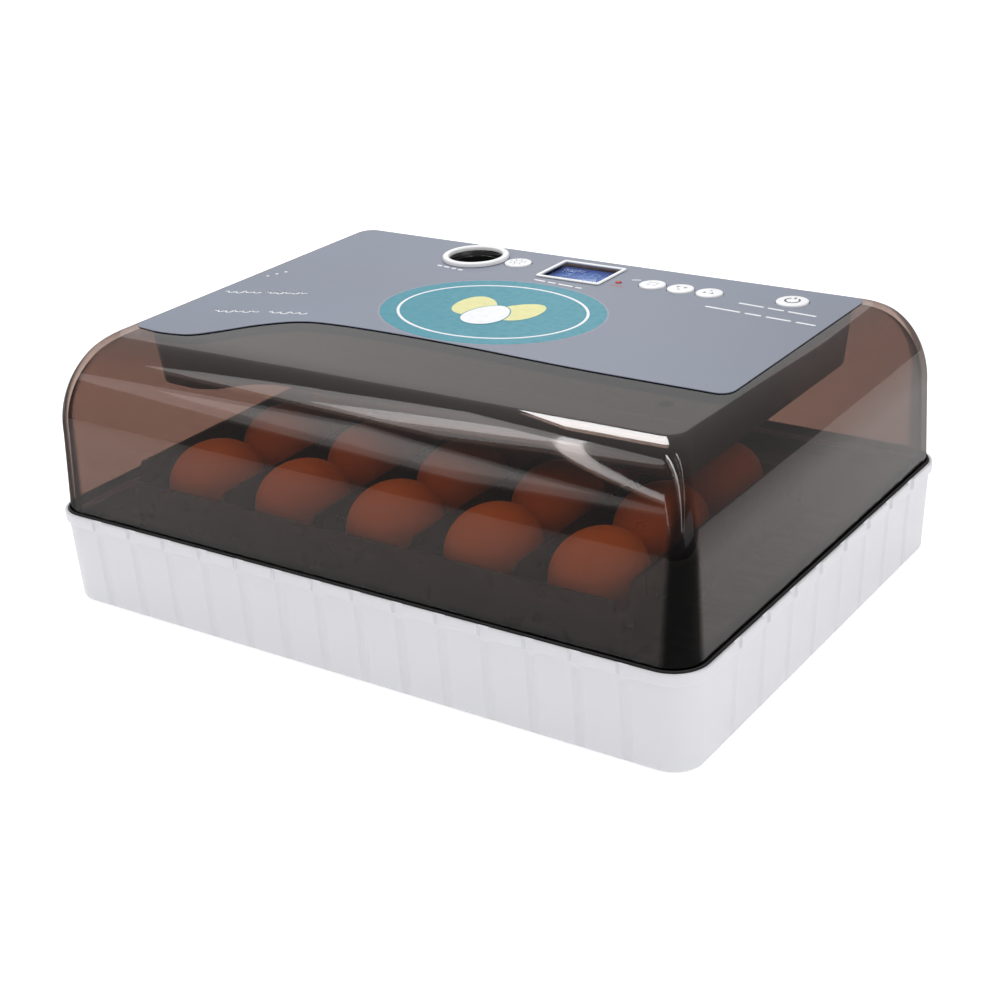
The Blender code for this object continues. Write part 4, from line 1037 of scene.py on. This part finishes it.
def make_candler():
    ring_low = FILM_TOP + GAP
    ring_high = FILM_TOP + 2.7
    fillet = 1.2
    shoulder = ring_high - fillet
    profile = [(RING_OUTER, ring_low)]
    profile += [(RING_OUTER - fillet + px, pz) for px, pz in arc(0.0, shoulder, fillet, 0, 90, 6)]
    profile += [(RING_INNER + fillet + px, pz) for px, pz in arc(0.0, shoulder, fillet, 90, 180, 6)]
    profile.append((RING_INNER, ring_low))
    install(lathe("candler_rim", *CANDLER, profile, 96, 50, closed=True), RING_WHITE, "lid", "candler_ring",
            slot="ring")

    flange_top = LID_TOP - LID_WALL - GAP
    wide = 15.5
    taper = 3.1
    outside = [(11.0, CANDLER_FLOOR - 2.0), (14.0, CANDLER_FLOOR), (16.9, flange_top - 1.8),
               (18.4, flange_top - 1.8), (18.4, flange_top), (17.2, flange_top), (17.2, FILM_TOP)]
    inside = [(15.8, FILM_TOP), (wide, FILM_TOP - 0.5)]
    for share in (step / 8 for step in range(1, 8)):
        inside.append((wide - taper * share, FILM_TOP - 0.5 - share * (FILM_TOP - 2.5 - CANDLER_FLOOR)))
    inside += [(12.4, CANDLER_FLOOR + 2.0), (11.6, CANDLER_FLOOR + 0.6), (10.5, CANDLER_FLOOR)]
    cup = lathe("candler_well", *CANDLER, outside + inside, 96, 40)
    install(cup, WELL_BLACK, "lid", "candler_cup", slot="inner_plastic")
    for index, share in enumerate((0.12, 0.34, 0.56, 0.78)):
        z = FILM_TOP - share * (FILM_TOP - CANDLER_FLOOR)
        radius = wide - taper * share - 0.02
        profile = [(radius, z), (radius - 0.35, z - 0.35), (radius - 0.1, z - 0.9)]
        rib = lathe(f"candler_rib_{index + 1}", *CANDLER, profile, 96, 30, closed=True)
        install(rib, WELL_BLACK, "lid", slot="inner_plastic")

    low = CANDLER_FLOOR + GAP
    lens = [(6.0, low), (6.0, low + 1.6), (3.6, low + 1.6), (3.6, low + 3.0)]
    lens += arc(0.0, low + 3.0, 2.4, 20, 84, 6)
    led = lathe("candler_lens", *CANDLER, lens, 40, 40)
    install(led, LED_WHITE, "lid", "candler_led", slot="light_emitter")


def digit_outlines(digit, x, y, width, height):
    """Seven-segment digit with its lower left corner at x, y."""
    half = height / 2
    across = (width * 0.8, width * 0.2, 0)
    upright = (half * 0.85, width * 0.2, 90)
    segments = {
        "a": (x + width / 2, y + height, *across),
        "b": (x + width, y + half * 1.5, *upright),
        "c": (x + width, y + half / 2, *upright),
        "d": (x + width / 2, y, *across),
        "e": (x, y + half / 2, *upright),
        "f": (x, y + half * 1.5, *upright),
        "g": (x + width / 2, y + half, *across),
    }
    lit = {"3": "abgcd", "7": "abc", "8": "abcdefg", "6": "afgecd", "5": "afgcd"}[digit]
    return [bar(*segments[name]) for name in lit]


def make_display():
    x, y = DISPLAY
    low, high = node_box("display_bezel")
    edge = 0.3
    outer = rounded_rectangle(low.x, high.x, low.y, high.y, 1.8, 6)
    hole = rounded_rectangle(x - BEZEL_HOLE_HALF_X, x + BEZEL_HOLE_HALF_X,
                             y - BEZEL_HOLE_HALF_Y, y + BEZEL_HOLE_HALF_Y, 0.8, 6)
    rings = [at_height(outer, low.z), at_height(outer, high.z - edge),
             at_height(inset_outline(outer, edge), high.z), at_height(inset_outline(hole, -edge), high.z),
             at_height(hole, high.z - edge), at_height(hole, low.z)]
    bezel = loft("display_frame", rings, 30, closed=True)
    install(bezel, RING_WHITE, "lid", "display_bezel", slot="ring")
    refined("display_window", WINDOW_CLEAR, 0.3, slot="window")
    refined("display_module", SCREEN, 0.3, slot="display")
    top = node_box("display_module")[1].z
    digits = []
    for digit, dx in (("3", -13.5), ("7", -6.0), ("8", 4.0)):
        digits += digit_outlines(digit, x + dx, y - 1.0, 4.6, 9.0)
    digits.append(circle(x + 1.4, y - 1.0, 0.7, 12))
    for digit, dx in (("6", -12.5), ("5", -8.0)):
        digits += digit_outlines(digit, x + dx, y - 9.5, 2.8, 5.2)
    printed("display_digits", digits, DIGIT, top + 0.03, top + 0.1, slot="display")


def make_lamp():
    low, high = node_box("alarm_lamp")
    radius = 1.8
    dome_low = FILM_TOP + 0.1
    profile = [(radius, low.z), (radius, dome_low)]
    for turn in (math.radians(degrees) for degrees in (20, 40, 60, 75, 86)):
        profile.append((radius * math.cos(turn), dome_low + (high.z - dome_low) * math.sin(turn)))
    install(lathe("lamp_dome", *LAMP, profile, 32, 60), LAMP_RED, "lid", "alarm_lamp", slot="lamp")


# ---- inside the housing, fan and back

def make_fan():
    refined("fan_frame", FAN_BLACK, 0.5)
    refined("fan_impeller", FAN_BLACK, 0.2)
    refined("fan_guard", FAN_BLACK, 0.5, 3)
    low, high = node_box("heater_ring")
    tube = (high.z - low.z) / 2
    middle_z = (high.z + low.z) / 2
    ring_radius = (high.x - low.x) / 2 - tube
    profile = [(ring_radius + px, middle_z + pz) for px, pz in circle(0.0, 0.0, tube, 20)]
    install(lathe("heater_tube", *FAN, profile, 96, 180, closed=True), HEATER_METAL, "lid", "heater_ring",
            slot="heater")


def make_electrics():
    refined("main_board", BOARD, 0.2, slot="board")
    refined("power_board", BOARD, 0.3, slot="board")
    for index in range(1, 5):
        make_screw(f"housing_screw_{index}", HOUSING_BOTTOM - GAP, -1)
    refined("sensor_probe", STEEL, 0.3, slot="steel")
    refined("humidity_sensor", KEY_WHITE, 0.4, slot="keys")
    refined("mains_inlet", SOCKET_BLACK, 0.4)
    refined("dc_socket", SOCKET_BLACK, 0.3)
    for name, offset in (("inlet_pin_left", -4.3), ("inlet_pin_right", 4.3)):
        pin = rounded_pin(name, INLET_X + offset, 125.3, 135.3, SOCKETS_Z - 1.0, 1.25)
        install(pin, STEEL, "lid", slot="steel")
    install(rounded_pin("socket_pin", SOCKET_X, 127.2, 136.3, SOCKETS_Z, 1.05), STEEL, "lid", slot="steel")


# ---- stage, lights and camera

def make_stage():
    """A wide slab, 0.2 mm under the feet, that glows more the further it is from the object."""
    half = 6000.0
    top = -1.0
    floor = prisms("floor", [box_outline(-half, half, -half, half)], top - 20.0, top)
    floor.location.z = (-0.2 - top) * MM
    shader = Shader("floor_white", roughness=0.6)
    shader.set("Base Color", shader.blend(shader.noise(0.8, 2.0), (0.90, 0.90, 0.90), (0.92, 0.92, 0.92)))
    shader.set("Emission Color", (1.0, 1.0, 1.0))
    away = shader.add("VectorMath", {0: shader.place}, operation="LENGTH").outputs["Value"]
    shader.set("Emission Strength", shader.remap(away, 0.4, 1.8, 0.33, 0.58))
    floor.data.materials.append(shader.material)


def make_world():
    world = bpy.data.worlds.new("studio")
    world.use_nodes = True
    background = world.node_tree.nodes["Background"]
    background.inputs["Color"].default_value = (1.0, 1.0, 1.0, 1.0)
    background.inputs["Strength"].default_value = 0.46
    bpy.context.scene.world = world


def area_light(name, width, height, radiance, turn, place):
    """A rectangular light with its width along the turn's X, shining down the turn's -Z."""
    light = bpy.data.lights.new(name, "AREA")
    light.shape = "RECTANGLE"
    light.size = width
    light.size_y = height
    light.energy = radiance * math.pi * width * height
    item = new_object(name, light)
    item.matrix_world = Matrix.Translation(place) @ turn.to_4x4()
    item.visible_camera = False


def softbox(name, azimuth, elevation, distance, width, height, radiance):
    """A softbox aimed at the object. Azimuth 0 is in front, 90 to the right and 180 behind."""
    turn = math.radians(azimuth)
    rise = math.radians(elevation)
    way = Vector((math.sin(turn) * math.cos(rise), -math.cos(turn) * math.cos(rise), math.sin(rise)))
    aim = way.to_track_quat("Z", "Y").to_matrix()
    area_light(name, width, height, radiance, aim, LIGHT_TARGET + way * distance)


def strip_light(name, start, end, width, radiance):
    """A long narrow light from start to end, in metres, facing the object."""
    run = Vector(end) - Vector(start)
    place = (Vector(start) + Vector(end)) / 2
    back = (place - LIGHT_TARGET).normalized()
    along = (run - back * run.dot(back)).normalized()
    aim = Matrix((along, back.cross(along), back)).transposed()
    area_light(name, run.length, width, radiance, aim, place)


def make_lights():
    softbox("softbox_sheen_wide", -54.0, 47.0, 1.6, 0.95, 0.62, 1.5)
    softbox("softbox_sheen_core", -56.0, 49.0, 1.5, 0.62, 0.36, 1.5)
    softbox("softbox_streak_wide", -118.0, 52.0, 1.5, 0.70, 0.50, 2.2)
    softbox("softbox_streak_core", -116.0, 54.0, 1.4, 0.46, 0.14, 4.0)
    softbox("softbox_corner_blob", -150.0, 34.0, 1.5, 0.22, 0.24, 9.0)
    softbox("softbox_back_low", -146.0, 21.0, 1.7, 1.30, 0.40, 0.7)
    softbox("softbox_right", 84.0, 30.0, 1.6, 1.2, 0.9, 1.0)
    strip_light("strip_left", (0.08, -1.18, 0.87), (-0.61, 0.67, 1.19), 0.035, 8.0)
    strip_light("strip_right", (1.00, -0.72, 0.93), (-0.46, 0.83, 1.28), 0.04, 12.5)
    strip_light("strip_right_second", (1.12, -0.58, 0.90), (-0.32, 0.97, 1.25), 0.018, 8.0)


def make_camera():
    data = bpy.data.cameras.new("camera")
    data.lens = 66.14
    data.sensor_width = 36.0
    data.clip_start = 0.05
    data.clip_end = 30.0
    camera = new_object("camera", data)
    place = Vector((0.5346, -0.7769, 0.4576))
    yaw = math.radians(34.563)
    pitch = math.radians(90.0 - 23.817)
    roll = math.radians(2.770)
    aim = Matrix.Rotation(yaw, 4, "Z") @ Matrix.Rotation(pitch, 4, "X") @ Matrix.Rotation(-roll, 4, "Z")
    camera.matrix_world = Matrix.Translation(place) @ aim
    bpy.context.scene.camera = camera


def main():
    make_camera()
    make_tub()
    make_seal()
    make_base_inside()
    make_turner()
    make_lid()
    make_housing()
    make_film()
    make_prints()
    make_keys()
    make_candler()
    make_display()
    make_lamp()
    make_fan()
    make_electrics()
    make_stage()
    make_world()
    make_lights()
    bpy.context.scene.view_settings.view_transform = "Standard"


main()
